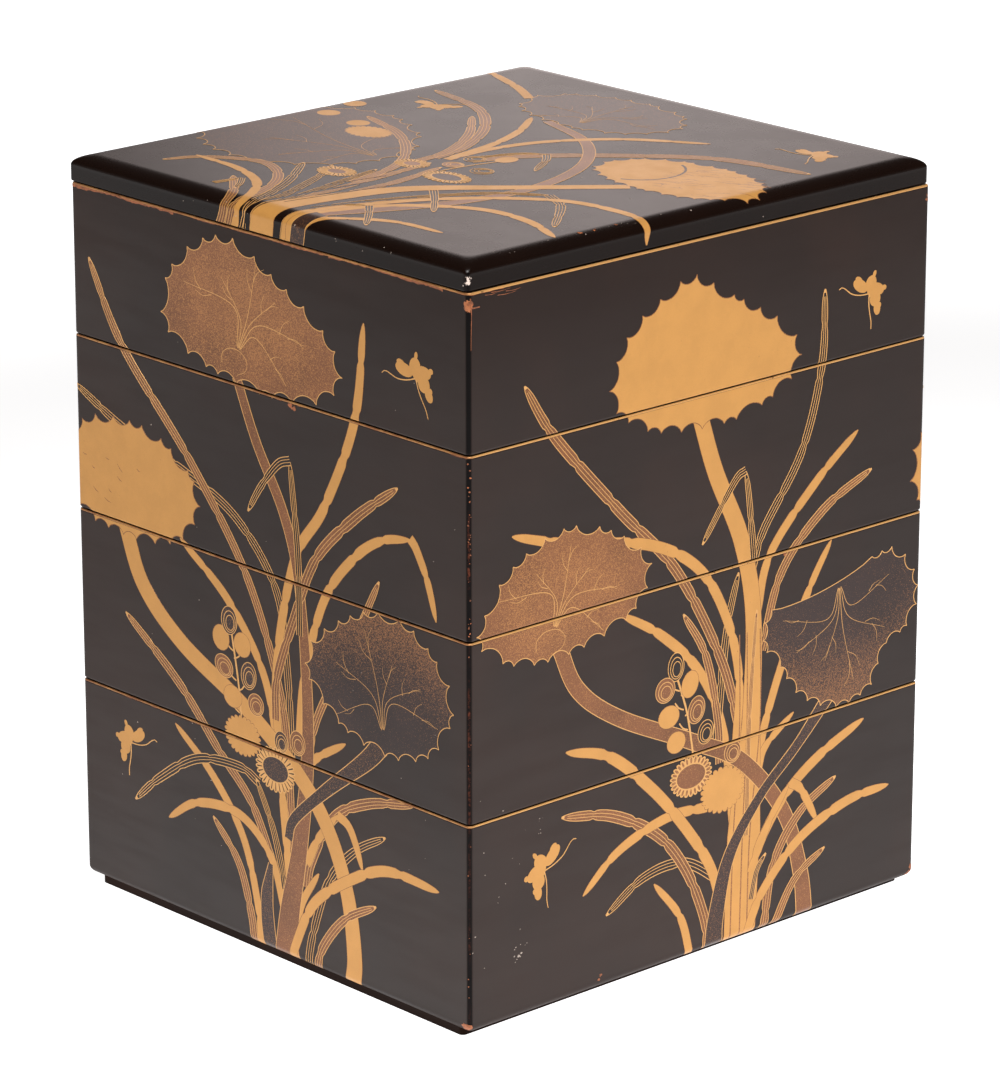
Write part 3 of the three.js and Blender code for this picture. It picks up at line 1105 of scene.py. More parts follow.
def cut_cell(shapes, low, high, cuts):
    """Divides a rectangle into triangles along the shapes' edges.

    Cuts are the further places across and up where it is divided. Returns the points, the
    triangles, and for each triangle the index of the topmost shape over it, or -1."""
    segments = []
    for shape in shapes:
        ends = np.roll(shape.outline, -1, axis=0)
        segments.append(clipped(shape.outline, ends, low, high))
    for across in (low[0], *cuts[0], high[0]):
        segments.append((np.array([(across, low[1])]), np.array([(across, high[1])])))
    for up in (low[1], *cuts[1], high[1]):
        segments.append((np.array([(low[0], up)]), np.array([(high[0], up)])))
    starts = np.concatenate([start for start, end in segments]) - low
    ends = np.concatenate([end for start, end in segments]) - low
    corners, index = np.unique(np.round(np.concatenate((starts, ends)), 4), axis=0,
                               return_inverse=True)
    index = index.reshape(2, -1).T
    edges = np.unique(index[index[:, 0] != index[:, 1]], axis=0)
    found = delaunay_2d_cdt([Vector(c) for c in corners], edges.tolist(), [], 0, 1e-4, False)
    points = np.array([tuple(v) for v in found[0]]) + low
    triangles = np.array(found[2])
    middles = points[triangles].mean(axis=1)
    owners = np.full(len(triangles), -1)
    for number in range(len(shapes) - 1, -1, -1):
        shape = shapes[number]
        open_ones = np.flatnonzero((owners < 0) & (middles >= shape.low).all(axis=1)
                                   & (middles <= shape.high).all(axis=1))
        if len(open_ones):
            owners[open_ones[inside(middles[open_ones], shape.outline)]] = number
    return points, triangles, owners


class FilmParts:
    """The films of one finish on one piece, gathered cell by cell."""

    def __init__(self):
        self.vertices = []
        self.faces = []
        self.shades = []
        self.count = 0

    def add(self, points, triangles, shades, place, lift, bury):
        """Adds a closed film over some triangles: its face, its back in the lacquer, its edges."""
        used, index = np.unique(triangles, return_inverse=True)
        index = index.reshape(-1, 3)
        face = place(points[used], lift)
        back = place(points[used], -bury)
        count = len(used)
        edges = np.concatenate((index[:, (0, 1)], index[:, (1, 2)], index[:, (2, 0)]))
        both = {tuple(edge) for edge in edges.tolist()}
        rim = np.array([edge for edge in edges.tolist() if (edge[1], edge[0]) not in both])
        sides = np.column_stack((rim[:, 1], rim[:, 0], rim[:, 0] + count, rim[:, 1] + count))
        self.vertices += [face, back]
        self.faces += (index + self.count).tolist()
        self.faces += (index[:, ::-1] + count + self.count).tolist()
        self.faces += (sides + self.count).tolist()
        self.shades += [shades.reshape(-1, 2), shades[:, ::-1].reshape(-1, 2),
                        np.zeros((4 * len(sides), 2))]
        self.count += 2 * count

    def build(self, name):
        """The gathered films as one object."""
        mesh = bpy.data.meshes.new(name)
        mesh.from_pydata(np.concatenate(self.vertices) * MM, [], self.faces)
        shading = mesh.uv_layers.new(name="motif")
        shading.data.foreach_set("uv", np.concatenate(self.shades).astype(np.float32).ravel())
        return place_object(name, mesh)


def gather_films(films, picture, low, high, cuts, place, sizes):
    """Cuts one cell of a picture and adds its films to each finish."""
    low, high = np.array(low, float), np.array(high, float)
    near = [shape for shape in picture if (shape.high > low).all() and (shape.low < high).all()]
    if not near:
        return
    points, triangles, owners = cut_cell(near, low, high, cuts)
    for finish in SLOTS:
        mine = np.flatnonzero([owner >= 0 and near[owner].finish == finish for owner in owners])
        if not len(mine):
            continue
        shades = np.zeros((len(mine), 3, 2))
        for number in np.unique(owners[mine]):
            shape = near[number]
            if shape.reach:
                its = owners[mine] == number
                shades[its] = (points[triangles[mine[its]]] - shape.middle) / shape.reach
        lift = sizes.line_lift if finish == LINE else sizes.fill_lift
        parts = films.setdefault(finish, FilmParts())
        parts.add(points, triangles[mine], shades, place, lift, sizes.film_room / 2)


def wall_place(face, heights, insets):
    """Where a point of a face's flat picture lies in space, for a lift off the lacquer."""
    length, breadth = FACE_LENGTHS[face], FACE_LENGTHS[face - 1]
    straight = length / 2 - OUTER_CORNER

    def place(points, lift):
        across = points[:, 0] - FACE_STARTS[face] - length / 2
        z = PICTURE_TOP + points[:, 1]
        inset = np.interp(z, heights, insets) - lift
        turn = np.clip((np.abs(across) - straight) / OUTER_CORNER, 0, 1) * math.pi / 4
        run = np.clip(across, -straight, straight) * (straight - inset) / straight
        run += np.sign(across) * OUTER_CORNER * np.sin(turn)
        out = breadth / 2 - inset - OUTER_CORNER * (1 - np.cos(turn))
        x, y = ((run, -out), (out, run), (-run, out), (-out, -run))[face]
        return np.column_stack((x, y, z))

    return place


def lid_place(room):
    """Where a point of the lid's unrolled picture lies in space, for a lift off the lacquer."""
    low, high = box_of(LID)
    bottom = low[2] + STEP_DEPTH
    edge = lid_edge(bottom, room)[::-1] + [level(room, bottom + LID_LOWER_BEVEL)]
    profile = np.array([(one_level[0], one_level[2]) for one_level in edge])
    steps = np.diff(profile, axis=0)
    unrolled = np.concatenate(([0.0], np.cumsum(np.hypot(*steps.T))))
    slopes = np.gradient(profile, unrolled, axis=0)
    slopes[0] = (-1.0, 0.0)
    slopes /= np.hypot(*slopes.T)[:, None]
    flat = profile[0, 0]
    centre_x = lid_centre()

    def place(points, lift):
        beyond = np.zeros(len(points))
        plan = np.empty((len(points), 2))
        lean = np.zeros((len(points), 2))
        for axis, length in ((0, WIDTH), (1, DEPTH)):
            off = points[:, axis] - length / 2
            past = np.maximum(np.abs(off) - (length / 2 - flat), 0)
            inset = np.interp(past, unrolled, profile[:, 0])
            out_lean = np.interp(past, unrolled, -slopes[:, 1])
            reach = length / 2 - inset + lift * out_lean
            plan[:, axis] = np.where(past > 0, np.sign(off) * reach, off)
            lean[:, axis] = out_lean
            beyond = np.maximum(beyond, past)
        rise = np.interp(beyond, unrolled, -slopes[:, 0])
        z = np.interp(beyond, unrolled, profile[:, 1]) + lift * rise
        return np.column_stack((plan[:, 0] + centre_x, plan[:, 1], z))

    return place, unrolled, flat


# Materials

class Pattern(NamedTuple):
    """A noise: waves to a metre, octaves, how much the fine ones count, and the two values
    between which a patch of it fades in."""

    scale: float
    detail: float = 2.0
    roughness: float = 0.5
    low: float = 0.3
    high: float = 0.7


LACQUER_CLOUD = Pattern(14.0, 3.0, low=0.35)
LACQUER_POLISH = Pattern(24.0, 5.0, 0.65)
LACQUER_GRAIN = Pattern(1300.0, roughness=0.6)
LACQUER_WAVE = Pattern(26.0)
CREST_CRUMBS = Pattern(620.0, 6.0, 0.8, 0.46, 0.6)
CREST_DRIFT = Pattern(17.0, low=0.44, high=0.6)
SPECK_DRIFT = Pattern(34.0, 1.0)
CHIP_EDGE = Pattern(420.0, 4.0, 0.75)
GOLD_GRAIN = Pattern(3600.0, 2.0, 0.6, 0.45, 0.75)
GOLD_PATCH = Pattern(90.0, 6.0, 0.68, 0.35, 0.68)
GOLD_RUB = Pattern(420.0, 5.0, 0.7, 0.66, 0.74)
POWDER_FINE = Pattern(3400.0, 1.0)
POWDER_COARSE = Pattern(1500.0)
RED_CLOUD = Pattern(60.0, 3.0)
RED_GROUND = Pattern(40.0, 3.0, low=0.35)
DARK_GROUND = Pattern(30.0, 3.0)
BARE_PATCH = Pattern(420.0, 4.0, 0.7, 0.35, 0.68)
BARE_GRAIN = Pattern(900.0, 4.0, 0.7)
RIM_PATCH = Pattern(130.0, 4.0, 0.7)
RIM_NICK = Pattern(210.0, 5.0, 0.7, 0.62, 0.68)
RIM_GRAIN = Pattern(800.0, 3.0, 0.6)


# The pale specks: how densely their places lie, the two radii between which a speck fades, as
# shares of the room between places, and the band over which they set in
SPECK_SCALE = 110.0
SPECK_FADE = (0.018, 0.034)
SPECK_BAND = 0.05

# A chip's ragged bound, in sizes of the chip: how far the noise moves it, and where it fades
CHIP_RAGGED = 4.0
CHIP_FADE = (2.7, 2.9)


class Nodes:
    """A node tree, with short ways to add to it."""

    def __init__(self, tree):
        self.tree = tree

    def feed(self, node, inputs):
        """Gives a node's inputs values of their own or other nodes' outputs."""
        for key, value in inputs.items():
            if isinstance(value, bpy.types.NodeSocket):
                self.tree.links.new(value, node.inputs[key])
            else:
                node.inputs[key].default_value = value

    def add(self, kind, inputs=None, **settings):
        """Adds a node, sets its properties and feeds its inputs."""
        node = self.tree.nodes.new(kind)
        for name, value in settings.items():
            setattr(node, name, value)
        self.feed(node, inputs or {})
        return node

    def math(self, operation, one, other=0.0):
        """One step of arithmetic."""
        return self.add("ShaderNodeMath", {0: one, 1: other}, operation=operation).outputs[0]

    def product(self, value, *others):
        """Values multiplied in turn."""
        for other in others:
            value = self.math("MULTIPLY", value, other)
        return value

    def total(self, value, *others):
        """Values added in turn."""
        for other in others:
            value = self.math("ADD", value, other)
        return value

    def measure(self, operation, one, other):
        """A number that comes of two vectors."""
        node = self.add("ShaderNodeVectorMath", {0: one, 1: other}, operation=operation)
        return node.outputs["Value"]

    def axes(self, vector):
        """A vector's three numbers."""
        return self.add("ShaderNodeSeparateXYZ", {0: vector}).outputs

    def noise(self, where, pattern):
        """A noise value at a place."""
        inputs = {"Vector": where, "Scale": pattern.scale, "Detail": pattern.detail,
                  "Roughness": pattern.roughness}
        return self.add("ShaderNodeTexNoise", inputs).outputs["Fac"]

    def eased(self, value, low, high, bottom=0.0, top=1.0):
        """A value eased from one range to another."""
        inputs = {"Value": value, "From Min": low, "From Max": high, "To Min": bottom, "To Max": top}
        return self.add("ShaderNodeMapRange", inputs, interpolation_type="SMOOTHSTEP").outputs[0]

    def patches(self, where, pattern, bottom=0.0, top=1.0):
        """A noise eased between its pattern's two values."""
        return self.eased(self.noise(where, pattern), pattern.low, pattern.high, bottom, top)

    def mixed(self, share, one, other):
        """A colour between two."""
        inputs = {0: share, 6: one, 7: other}
        return self.add("ShaderNodeMix", inputs, data_type="RGBA").outputs[2]


class Finish(Nodes):
    """A material in the making, with its surface shader and its place on the object."""

    def __init__(self, name, metallic=0.0):
        self.material = bpy.data.materials.new(name)
        self.material.use_nodes = True
        super().__init__(self.material.node_tree)
        self.surface = self.tree.nodes["Principled BSDF"]
        self.where = self.add("ShaderNodeTexCoord").outputs["Object"]
        self.dress({"Metallic": metallic})

    def dress(self, inputs):
        """Feeds the surface shader."""
        self.feed(self.surface, inputs)

    def bump(self, height, depth, strength=1.0):
        """Raises the surface by a height value times a depth in metres."""
        inputs = {"Strength": strength, "Distance": depth, "Height": height}
        self.dress({"Normal": self.add("ShaderNodeBump", inputs).outputs[0]})


def opaque(colour, strength=1.0):
    """A colour with full alpha, brightened or darkened."""
    return (*(channel * strength for channel in colour), 1.0)


def corner_distance(finish, across, deep):
    """How far a place is from an upright corner, over the two faces that meet there."""
    from_side = finish.math("SUBTRACT", WIDTH / 2 * MM, finish.math("ABSOLUTE", across))
    from_front = finish.math("SUBTRACT", DEPTH / 2 * MM, finish.math("ABSOLUTE", deep))
    return finish.math("MAXIMUM", from_side, from_front)


def crest_wear(finish, from_corner, height):
    """Where the crest of an upright corner is rubbed to its red-brown ground."""
    return finish.product(
        finish.eased(from_corner, *CREST, 1.0, 0.0), finish.patches(finish.where, CREST_CRUMBS),
        finish.patches(finish.where, CREST_DRIFT), finish.eased(height, *WEAR_GROWS, 0.3, 1.0),
        finish.eased(height, *WEAR_ENDS, 1.0, 0.0))


def pale_specks(finish, rarity):
    """Small pale dots. They are rarer as rarity nears 1."""
    dots = finish.add("ShaderNodeTexVoronoi", {"Vector": finish.where, "Scale": SPECK_SCALE})
    dot = finish.eased(dots.outputs["Distance"], *SPECK_FADE, 1.0, 0.0)
    drift = finish.noise(finish.where, SPECK_DRIFT)
    return finish.product(dot, finish.eased(drift, rarity, rarity + SPECK_BAND))


def chipped(finish, middle, size):
    """A ragged round place of another colour: bare ground on the tiers, a near-white spot on the lid."""
    distance = finish.measure("DISTANCE", finish.where, middle)
    ragged = finish.product(finish.noise(finish.where, CHIP_EDGE), CHIP_RAGGED * size)
    near, far = CHIP_FADE
    return finish.eased(finish.total(distance, ragged), near * size, far * size, 1.0, 0.0)


def lacquer_material(name, colour, roughness, uneven, waviness, rarity, chip, shine):
    """Old brown-black lacquer: satin, faintly uneven and rubbed at its upright corners, with a black
    band of painted shade down each of them for the dark reflection there.

    Uneven is how far the roughness varies, and rarity is that of the pale specks. Chip is a ragged
    place of another colour at the near corner: bare orange-brown ground on the tiers and a near-white
    spot on the lid. Each entry of shine gives two heights and the share of the gloss that is left
    below the one and above the other, which dims the reflection there as painted shade."""
    finish = Finish(name)
    where = finish.where
    across, deep, height = finish.axes(where)
    from_corner = corner_distance(finish, across, deep)
    # Painted shade: a black band down each upright corner stands in for the dark reflection there
    arris_shade = finish.eased(from_corner, *ARRIS_SHADE, 1.0, 0.0)
    middle, size, bare_colour = chip
    bare = chipped(finish, middle, size)
    cloud = finish.patches(where, LACQUER_CLOUD)
    shade = finish.mixed(cloud, opaque(colour, 0.8), opaque(colour, 1.25))
    for share, over in ((arris_shade, CORNER_SHADE_BLACK), (crest_wear(finish, from_corner, height), RUBBED_CORNER),
                        (pale_specks(finish, rarity), PALE_SPECK), (bare, bare_colour)):
        shade = finish.mixed(share, shade, opaque(over))
    streaks = finish.add("ShaderNodeMapping", {"Vector": where, "Scale": (1.0, 1.0, 7.0)}).outputs[0]
    satin = finish.patches(streaks, LACQUER_POLISH, roughness - uneven, roughness + uneven)
    # Painted shade: the gloss is dimmed by height, darkening the reflection where the shine entries say
    sheen = GLOSS
    for low, high, below, above in shine:
        share = finish.eased(height, low * MM, high * MM, below, above)
        sheen = finish.product(share, sheen)
    # The band of painted shade is made a black metal too, so that the corner mirrors almost nothing
    metallic = finish.product(arris_shade, finish.math("SUBTRACT", 1.0, bare), 0.85)
    finish.dress({"Base Color": shade, "Roughness": satin, "Specular IOR Level": sheen,
                  "Metallic": metallic})
    wave = finish.product(finish.noise(where, LACQUER_WAVE), waviness)
    finish.bump(finish.total(finish.noise(where, LACQUER_GRAIN), wave), 0.006 * MM)
    return finish.material


def gold_material(name, colour):
    """Sprinkled gold leaf: fine grained, a little patchy, rubbed here and there."""
    finish = Finish(name, GOLD_METAL)
    grain = finish.noise(finish.where, GOLD_GRAIN)
    patch = finish.noise(finish.where, GOLD_PATCH)
    patchy = finish.eased(patch, GOLD_PATCH.low, GOLD_PATCH.high)
    shade = finish.mixed(patchy, opaque(colour), opaque(colour, 0.92))
    grainy = finish.eased(grain, GOLD_GRAIN.low, GOLD_GRAIN.high, 0.0, 0.3)
    shade = finish.mixed(grainy, shade, opaque(colour, 0.7))
    rub = finish.product(finish.patches(finish.where, GOLD_RUB), 0.5)
    shade = finish.mixed(rub, shade, opaque(RUBBED_GOLD))
    finish.dress({"Base Color": shade, "Roughness": finish.eased(patch, 0.3, 0.7, 0.31, 0.36),
                  "Specular IOR Level": GLOSS})
    finish.bump(grain, 0.008 * MM, 0.6)
    return finish.material


def powder_material(name, ground, powder, threshold, spread):
    """Gold powder sprinkled over a ground, denser where the spread value is high."""
    finish = Finish(name, POWDER_METAL)
    shading = finish.axes(finish.add("ShaderNodeUVMap", uv_map="motif").outputs[0])
    speckle = finish.total(finish.product(finish.noise(finish.where, POWDER_FINE), 0.8),
                           finish.product(finish.noise(finish.where, POWDER_COARSE), 0.2))
    bar = finish.math("SUBTRACT", threshold, spread(finish, shading))
    flakes = finish.eased(finish.math("SUBTRACT", speckle, bar), -0.08, 0.12)
    shade = finish.mixed(flakes, ground(finish), opaque(powder))
    finish.dress({"Base Color": shade, "Roughness": 0.28, "Specular IOR Level": GLOSS})
    finish.bump(speckle, 0.012 * MM, 0.5)
    return finish.material


def red_material(name, colours):
    """Thin gold over red-brown, clearer towards the middle of a leaf and thin on stalks."""
    def spread(finish, shading):
        across, up, _ = shading
        from_middle = finish.total(finish.math("POWER", across, 2.0), finish.math("POWER", up, 2.0))
        near = finish.eased(from_middle, 0.1, 0.9, 0.03, -0.02)
        thin = finish.eased(from_middle, 2.0, 4.0, 0.0, -0.045)
        cloud = finish.patches(finish.where, RED_CLOUD, -0.015, 0.025)
        return finish.total(cloud, finish.total(near, thin))

    def ground(finish):
        cloud = finish.patches(finish.where, RED_GROUND)
        return finish.mixed(cloud, opaque(colours.red), opaque(colours.red, 0.72))

    return powder_material(name, ground, colours.red_powder, 0.53, spread)


def dark_material(name, colours):
    """Dark powder with gold grains that crowd towards the upper and outer parts of a leaf."""
    def spread(finish, shading):
        across, up, _ = shading
        rise = finish.eased(up, -0.6, 1.0, -0.12, 0.08)
        return finish.total(rise, finish.eased(finish.math("ABSOLUTE", across), 0.3, 1.0, 0.0, 0.05))

    def ground(finish):
        cloud = finish.patches(finish.where, DARK_GROUND)
        return finish.mixed(cloud, opaque(colours.dark, 0.75), opaque(colours.dark, 1.15))

    return powder_material(name, ground, colours.dark_powder, 0.56, spread)


def bare_material(name, colour):
    """Bare ground of a chip or a chipped edge, rough and uneven."""
    finish = Finish(name)
    patch = finish.patches(finish.where, BARE_PATCH)
    shade = finish.mixed(patch, opaque(colour), opaque(colour, 0.4))
    finish.dress({"Base Color": shade, "Roughness": 0.62})
    finish.bump(finish.noise(finish.where, BARE_GRAIN), 0.05 * MM, 0.6)
    return finish.material


def rim_material(colours):
    """Gold of the rims, rubbed brown along the front face and bright along the right one."""
    finish = Finish("Rim gold", RIM_METAL)
    deep = finish.axes(finish.where)[1]
    front = finish.eased(deep, -DEPTH / 2 * MM, (4 - DEPTH / 2) * MM, 1.0, 0.0)
    worn = finish.product(front, finish.patches(finish.where, RIM_PATCH, 0.35, 1.0))
    shade = finish.mixed(worn, opaque(colours.line), opaque(RUBBED_RIM))
    nick = finish.product(finish.patches(finish.where, RIM_NICK), 0.7)
    shade = finish.mixed(nick, shade, opaque(NICKED_RIM))
    finish.dress({"Base Color": shade, "Roughness": 0.42})
    finish.bump(finish.noise(finish.where, RIM_GRAIN), 0.03 * MM, 0.5)
    return finish.material


def film_material(finish, colours):
    """The material of a film, made once."""
    name = FINISH_NAMES[finish]
    made = bpy.data.materials.get(name)
    if made:
        return made
    if finish in (GOLD, LINE):
        return gold_material(name, colours.gold if finish == GOLD else colours.line)
    if finish in (WORN, PALE):
        return bare_material(name, colours.worn if finish == WORN else colours.pale)
    return {RED: red_material, DARK: dark_material}[finish](name, colours)


def finish_films(films, node, colours):
    """Builds the gathered films of one node as pieces of the object."""
    for finish, parts in films.items():
        piece = parts.build(f"{node}_{finish}")
        piece.data.materials.append(film_material(finish, colours))
        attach(piece, BODY)


# Operators

class FoodBoxOperator:
    """What the operators share."""

    bl_options = {"REGISTER", "UNDO"}

    @classmethod
    def poll(cls, context):
        return context.scene is not None


class FOODBOX_OT_tiers(FoodBoxOperator, bpy.types.Operator):
    """Build the four hollow lacquer tiers in place of the frame's solids"""

    bl_idname = "food_box.tiers"
    bl_label = "Build tiers"

    def execute(self, context):
        room = context.scene.food_box_sizes.film_room
        colours = context.scene.food_box_colours
        material = lacquer_material(
            "Tier lacquer", colours.lacquer, roughness=0.4, uneven=0.055, waviness=2.0,
            rarity=0.66, chip=TIER_CHIP, shine=TIER_SHINE)
        for node in TIERS:
            piece = loft(f"{node}_body", tier_levels(node, room))
            piece.data.materials.append(material)
            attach(piece, BODY)
            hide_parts(node)
        return {"FINISHED"}


class FOODBOX_OT_lid(FoodBoxOperator, bpy.types.Operator):
    """Build the hollow lid with its broad soft edge"""

    bl_idname = "food_box.lid"
    bl_label = "Build lid"

    def execute(self, context):
        lid_colour = Vector(context.scene.food_box_colours.lacquer) * LID_DARKNESS
        room = context.scene.food_box_sizes.film_room
        piece = loft("lid_body", lid_levels(room), lid_centre())
        material = lacquer_material(
            "Lid lacquer", lid_colour, roughness=0.27, uneven=0.014, waviness=3.0,
            rarity=0.5, chip=LID_PALE_SPOT, shine=LID_SHINE)
        piece.data.materials.append(material)
        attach(piece, BODY)
        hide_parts(LID)
        return {"FINISHED"}


def bead_tree():
    """Node tree that sweeps a round bead along a rounded rectangle."""
    tree = bpy.data.node_groups.new("Rim bead", "GeometryNodeTree")
    sockets = {}
    for name, kind in (("Length", "Float"), ("Breadth", "Float"), ("Corner", "Float"),
                       ("Bead radius", "Float"), ("Height", "Float"), ("Finish", "Material")):
        made = tree.interface.new_socket(name, in_out="INPUT", socket_type=f"NodeSocket{kind}")
        sockets[name] = made.identifier
    tree.interface.new_socket("Mesh", in_out="OUTPUT", socket_type="NodeSocketGeometry")
    nodes = Nodes(tree)
    given = nodes.add("NodeGroupInput").outputs
    outline = nodes.add("GeometryNodeCurvePrimitiveQuadrilateral",
                        {"Width": given["Length"], "Height": given["Breadth"]})
    fillet = nodes.add("GeometryNodeFilletCurve",
                       {"Curve": outline.outputs[0], "Count": CORNER_STEPS,
                        "Radius": given["Corner"]}, mode="POLY")
    section = nodes.add("GeometryNodeCurvePrimitiveCircle",
                        {"Resolution": BEAD_SIDES, "Radius": given["Bead radius"]})
    swept = nodes.add("GeometryNodeCurveToMesh",
                      {"Curve": fillet.outputs[0], "Profile Curve": section.outputs[0]})
    lift = nodes.add("ShaderNodeCombineXYZ", {"Z": given["Height"]})
    raised = nodes.add("GeometryNodeTransform",
                       {"Geometry": swept.outputs[0], "Translation": lift.outputs[0]})
    real = nodes.add("GeometryNodeRealizeInstances", {"Geometry": raised.outputs[0]})
    dressed = nodes.add("GeometryNodeSetMaterial",
                        {"Geometry": real.outputs[0], "Material": given["Finish"]})
    nodes.add("NodeGroupOutput", {0: dressed.outputs[0]})
    return tree, sockets


def settled(piece):
    """Turns a piece's evaluated modifiers into plain mesh."""
    graph = bpy.context.evaluated_depsgraph_get()
    mesh = bpy.data.meshes.new_from_object(piece.evaluated_get(graph))
    piece.modifiers.clear()
    piece.data = mesh
    mesh.shade_smooth()


class FOODBOX_OT_rims(FoodBoxOperator, bpy.types.Operator):
    """Build the gilded bead round each tier's mouth"""

    bl_idname = "food_box.rims"
    bl_label = "Build rim beads"

    def execute(self, context):
        sizes = context.scene.food_box_sizes
        material = rim_material(context.scene.food_box_colours)
        tree, sockets = bead_tree()
        for node in TIERS:
            bead = sizes.bead * (TOP_BEAD if node == TIERS[0] else 1)
            middle = bead + BEAD_CLEAR
            piece = place_object(f"{node}_rim", bpy.data.meshes.new(f"{node}_rim"))
            modifier = piece.modifiers.new("Rim bead", "NODES")
            modifier.node_group = tree
            values = {
                "Length": (WIDTH - 2 * middle) * MM,
                "Breadth": (DEPTH - 2 * middle) * MM,
                "Corner": (OUTER_CORNER - middle / 2) * MM,
                "Bead radius": bead * MM,
                "Height": (tier_span(node)[1] - middle) * MM,
                "Finish": material,
            }
            for name, value in values.items():
                modifier[sockets[name]] = value
            settled(piece)
            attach(piece, BODY)
        return {"FINISHED"}


class FOODBOX_OT_side_picture(FoodBoxOperator, bpy.types.Operator):
    """Lay the gold picture round the four sides of the tiers"""

    bl_idname = "food_box.side_picture"
    bl_label = "Paint sides"

    def execute(self, context):
        sizes = context.scene.food_box_sizes
        picture = Picture(sizes, sizes.seed)
        for face in (3, 2, 1, 0):
            picture.origin = np.array((FACE_STARTS[face], 0.0))
            draw = wide_face if face % 2 else narrow_face
            draw(picture, plainer=face > 1)
        picture.origin = np.zeros(2)
        face_wear(picture)
        shapes = self.wrapped(picture.shapes)
        corner_cuts = OUTER_CORNER * np.arange(1, CORNER_STEPS // 2 + 1) / (CORNER_STEPS / 2)
        for node in TIERS:
            bottom, rim = tier_span(node)
            edge = round_levels(lower_radius(node), bottom, sizes.film_room)
            heights = np.array([one_level[2] for one_level in edge])
            insets = np.array([one_level[0] for one_level in edge])
            lowest = heights[PICTURE_FOOT] - PICTURE_TOP
            cuts_up = heights[PICTURE_FOOT + 1:] - PICTURE_TOP
            films = {}
            for face in range(4):
                start = FACE_STARTS[face]
                end = start + FACE_LENGTHS[face]
                cuts = (np.concatenate((start + corner_cuts, end - corner_cuts)), cuts_up)
                gather_films(films, shapes, (start, lowest), (end, rim - RIM_BEVEL - PICTURE_TOP),
                             cuts, wall_place(face, heights, insets), sizes)
            finish_films(films, node, context.scene.food_box_colours)
        return {"FINISHED"}

    def wrapped(self, shapes):
        """Repeats what crosses the first corner at the other end of the girth."""
        result = []
        for shape in shapes:
            result.append(shape)
            for shift in (-GIRTH, GIRTH):
                if shape.low[0] + shift < GIRTH and shape.high[0] + shift > 0:
                    aside = np.array((shift, 0.0))
                    result.append(Shape(shape.outline + aside, shape.finish,
                                        shape.middle + aside, shape.reach))
        return result


class FOODBOX_OT_lid_picture(FoodBoxOperator, bpy.types.Operator):
    """Lay the gold picture over the lid and down its edges"""

    bl_idname = "food_box.lid_picture"
    bl_label = "Paint lid"

    def execute(self, context):
        sizes = context.scene.food_box_sizes
        picture = Picture(sizes, sizes.seed + 1)
        picture.scale = np.ones(2)
        lid_picture(picture)
        lid_wear(picture)
        place, unrolled, flat = lid_place(sizes.film_room)
        turns = unrolled[1:-1]
        far_x, far_y = WIDTH - flat, DEPTH - flat
        clear = LID_TOP_CORNER
        end = unrolled[-1]
        cells = (
            ((flat, flat), (far_x, far_y), ((), ())),
            ((flat + clear, flat - end), (far_x - clear, flat), ((), flat - turns)),
            ((flat + clear, far_y), (far_x - clear, far_y + end), ((), far_y + turns)),
            ((flat - end, flat + clear), (flat, far_y - clear), (flat - turns, ())),
            ((far_x, flat + clear), (far_x + end, far_y - clear), (far_x + turns, ())),
        )
        films = {}
        for low, high, cuts in cells:
            gather_films(films, picture.shapes, low, high, cuts, place, sizes)
        finish_films(films, LID, context.scene.food_box_colours)
        return {"FINISHED"}


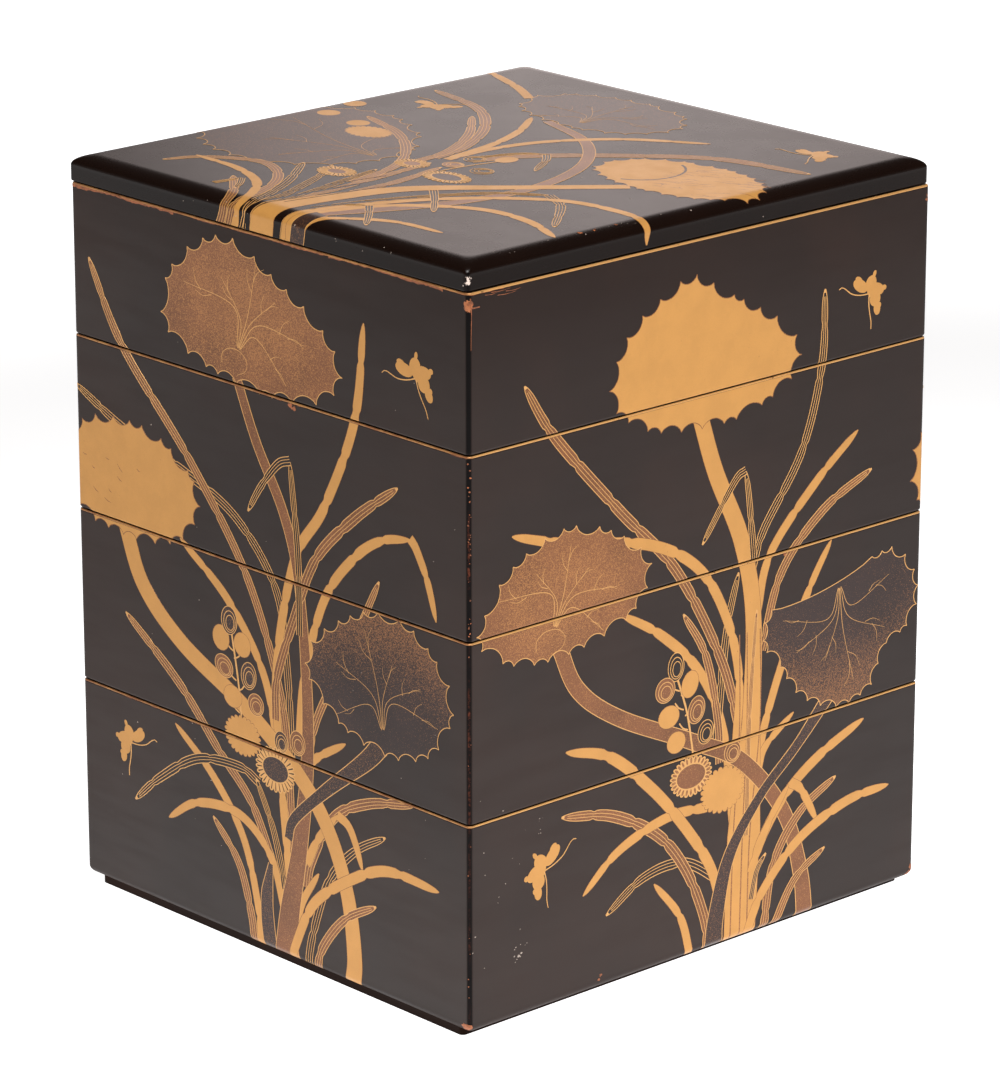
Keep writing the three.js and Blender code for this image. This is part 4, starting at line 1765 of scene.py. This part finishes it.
class FOODBOX_OT_stage(FoodBoxOperator, bpy.types.Operator):
    """Set up the pale floor, the studio light and the camera"""

    bl_idname = "food_box.stage"
    bl_label = "Build stage"

    def execute(self, context):
        stage = context.scene.food_box_stage
        self.floor(stage)
        self.surround(context.scene, stage)
        self.softbox(stage)
        self.camera(context.scene)
        context.scene.view_settings.view_transform = "Standard"
        return {"FINISHED"}

    def floor(self, stage):
        """A plain round floor under the box, lit a little from below."""
        turns = np.linspace(0, 2 * math.pi, 64, endpoint=False)
        radius = stage.floor_radius
        edge = [(radius * math.cos(turn), radius * math.sin(turn), 0) for turn in turns]
        mesh = bpy.data.meshes.new("floor")
        mesh.from_pydata(edge, [], [tuple(range(len(edge)))])
        finish = Finish("Floor")
        from_box = finish.measure("DISTANCE", finish.where, GLOW_MIDDLE)
        glow = finish.total(
            finish.eased(from_box, *NEAR_GLOW, stage.near_glow, 0.0),
            finish.eased(from_box, *FAR_GLOW, stage.floor_glow, FAR_GLOW_STRENGTH))
        finish.dress({"Base Color": opaque(stage.floor_colour), "Roughness": 0.9,
                      "Emission Color": (1, 1, 1, 1), "Emission Strength": glow})
        floor = place_object("floor", mesh)
        floor.data.materials.append(finish.material)

    def surround(self, scene, stage):
        """A dim surround with a white screen low down behind the box."""
        world = bpy.data.worlds.new("Studio")
        world.use_nodes = True
        scene.world = world
        nodes = Nodes(world.node_tree)
        direction = nodes.add("ShaderNodeTexCoord").outputs["Generated"]
        across = nodes.measure("DOT_PRODUCT", direction, SCREEN_ACROSS)
        behind = nodes.measure("DOT_PRODUCT", direction, SCREEN_WAY)
        off_middle = nodes.math("ABSOLUTE", nodes.math("SUBTRACT", across, SCREEN_MIDDLE))
        glow = nodes.product(nodes.eased(off_middle, *SCREEN_EDGE, 1.0, 0.0),
                             nodes.eased(behind, *SCREEN_FRONT), stage.backdrop)
        low_down = nodes.eased(nodes.axes(direction)[2], *SCREEN_TOP, 1.0, 0.0)
        glow = nodes.product(nodes.total(glow, LOW_LIGHT), low_down)
        nodes.feed(nodes.tree.nodes["Background"],
                   {"Strength": nodes.total(glow, ROOM_LIGHT), "Color": ROOM_TINT})

    def softbox(self, stage):
        """One broad light high over the right side of the box."""
        light = bpy.data.lights.new("Softbox", "AREA")
        light.shape = "SQUARE"
        light.size = SOFTBOX_SIDE
        light.energy = stage.softbox
        self.aim("Softbox", light, SOFTBOX_PLACE, Vector(SOFTBOX_AIM) - Vector(SOFTBOX_PLACE))

    def camera(self, scene):
        """The camera at the photograph's angle."""
        camera = bpy.data.cameras.new("Camera")
        camera.lens = FOCAL_LENGTH
        camera.sensor_width = SENSOR_WIDTH
        forward = (math.cos(EYE_TILT) * math.sin(EYE_TURN),
                   math.cos(EYE_TILT) * math.cos(EYE_TURN), -math.sin(EYE_TILT))
        scene.camera = self.aim("Camera", camera, EYE_PLACE, Vector(forward))

    def aim(self, name, data, place, way):
        """Stands a lamp or a camera at a place, turned to look a way."""
        stood = bpy.data.objects.new(name, data)
        stood.location = place
        stood.rotation_mode = "QUATERNION"
        stood.rotation_quaternion = way.to_track_quat("-Z", "Y")
        bpy.context.scene.collection.objects.link(stood)
        return stood


class FOODBOX_PT_panel(bpy.types.Panel):
    """Lists the steps that build the food box"""

    bl_idname = "FOODBOX_PT_panel"
    bl_label = "Lacquer food box"
    bl_space_type = "VIEW_3D"
    bl_region_type = "UI"
    bl_category = "Food box"

    def draw(self, context):
        layout = self.layout
        for operator in OPERATORS:
            layout.operator(operator.bl_idname)
        for group in ("food_box_sizes", "food_box_colours", "food_box_stage"):
            box = layout.box()
            values = getattr(context.scene, group)
            for name in values.__annotations__:
                box.prop(values, name)


OPERATORS = (FOODBOX_OT_tiers, FOODBOX_OT_lid, FOODBOX_OT_rims, FOODBOX_OT_side_picture,
             FOODBOX_OT_lid_picture, FOODBOX_OT_stage)
CLASSES = (FoodBoxSizes, FoodBoxColours, FoodBoxStage, *OPERATORS, FOODBOX_PT_panel)


def register():
    """Registers the classes and hangs their settings on the scene."""
    for one_class in CLASSES:
        bpy.utils.register_class(one_class)
    bpy.types.Scene.food_box_sizes = PointerProperty(type=FoodBoxSizes)
    bpy.types.Scene.food_box_colours = PointerProperty(type=FoodBoxColours)
    bpy.types.Scene.food_box_stage = PointerProperty(type=FoodBoxStage)


def unregister():
    """Takes the settings and the classes away again."""
    del bpy.types.Scene.food_box_stage
    del bpy.types.Scene.food_box_colours
    del bpy.types.Scene.food_box_sizes
    for one_class in reversed(CLASSES):
        bpy.utils.unregister_class(one_class)


def main():
    """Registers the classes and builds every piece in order."""
    register()
    for operator in OPERATORS:
        group, name = operator.bl_idname.split(".")
        getattr(getattr(bpy.ops, group), name)()


if __name__ == "__main__":
    main()
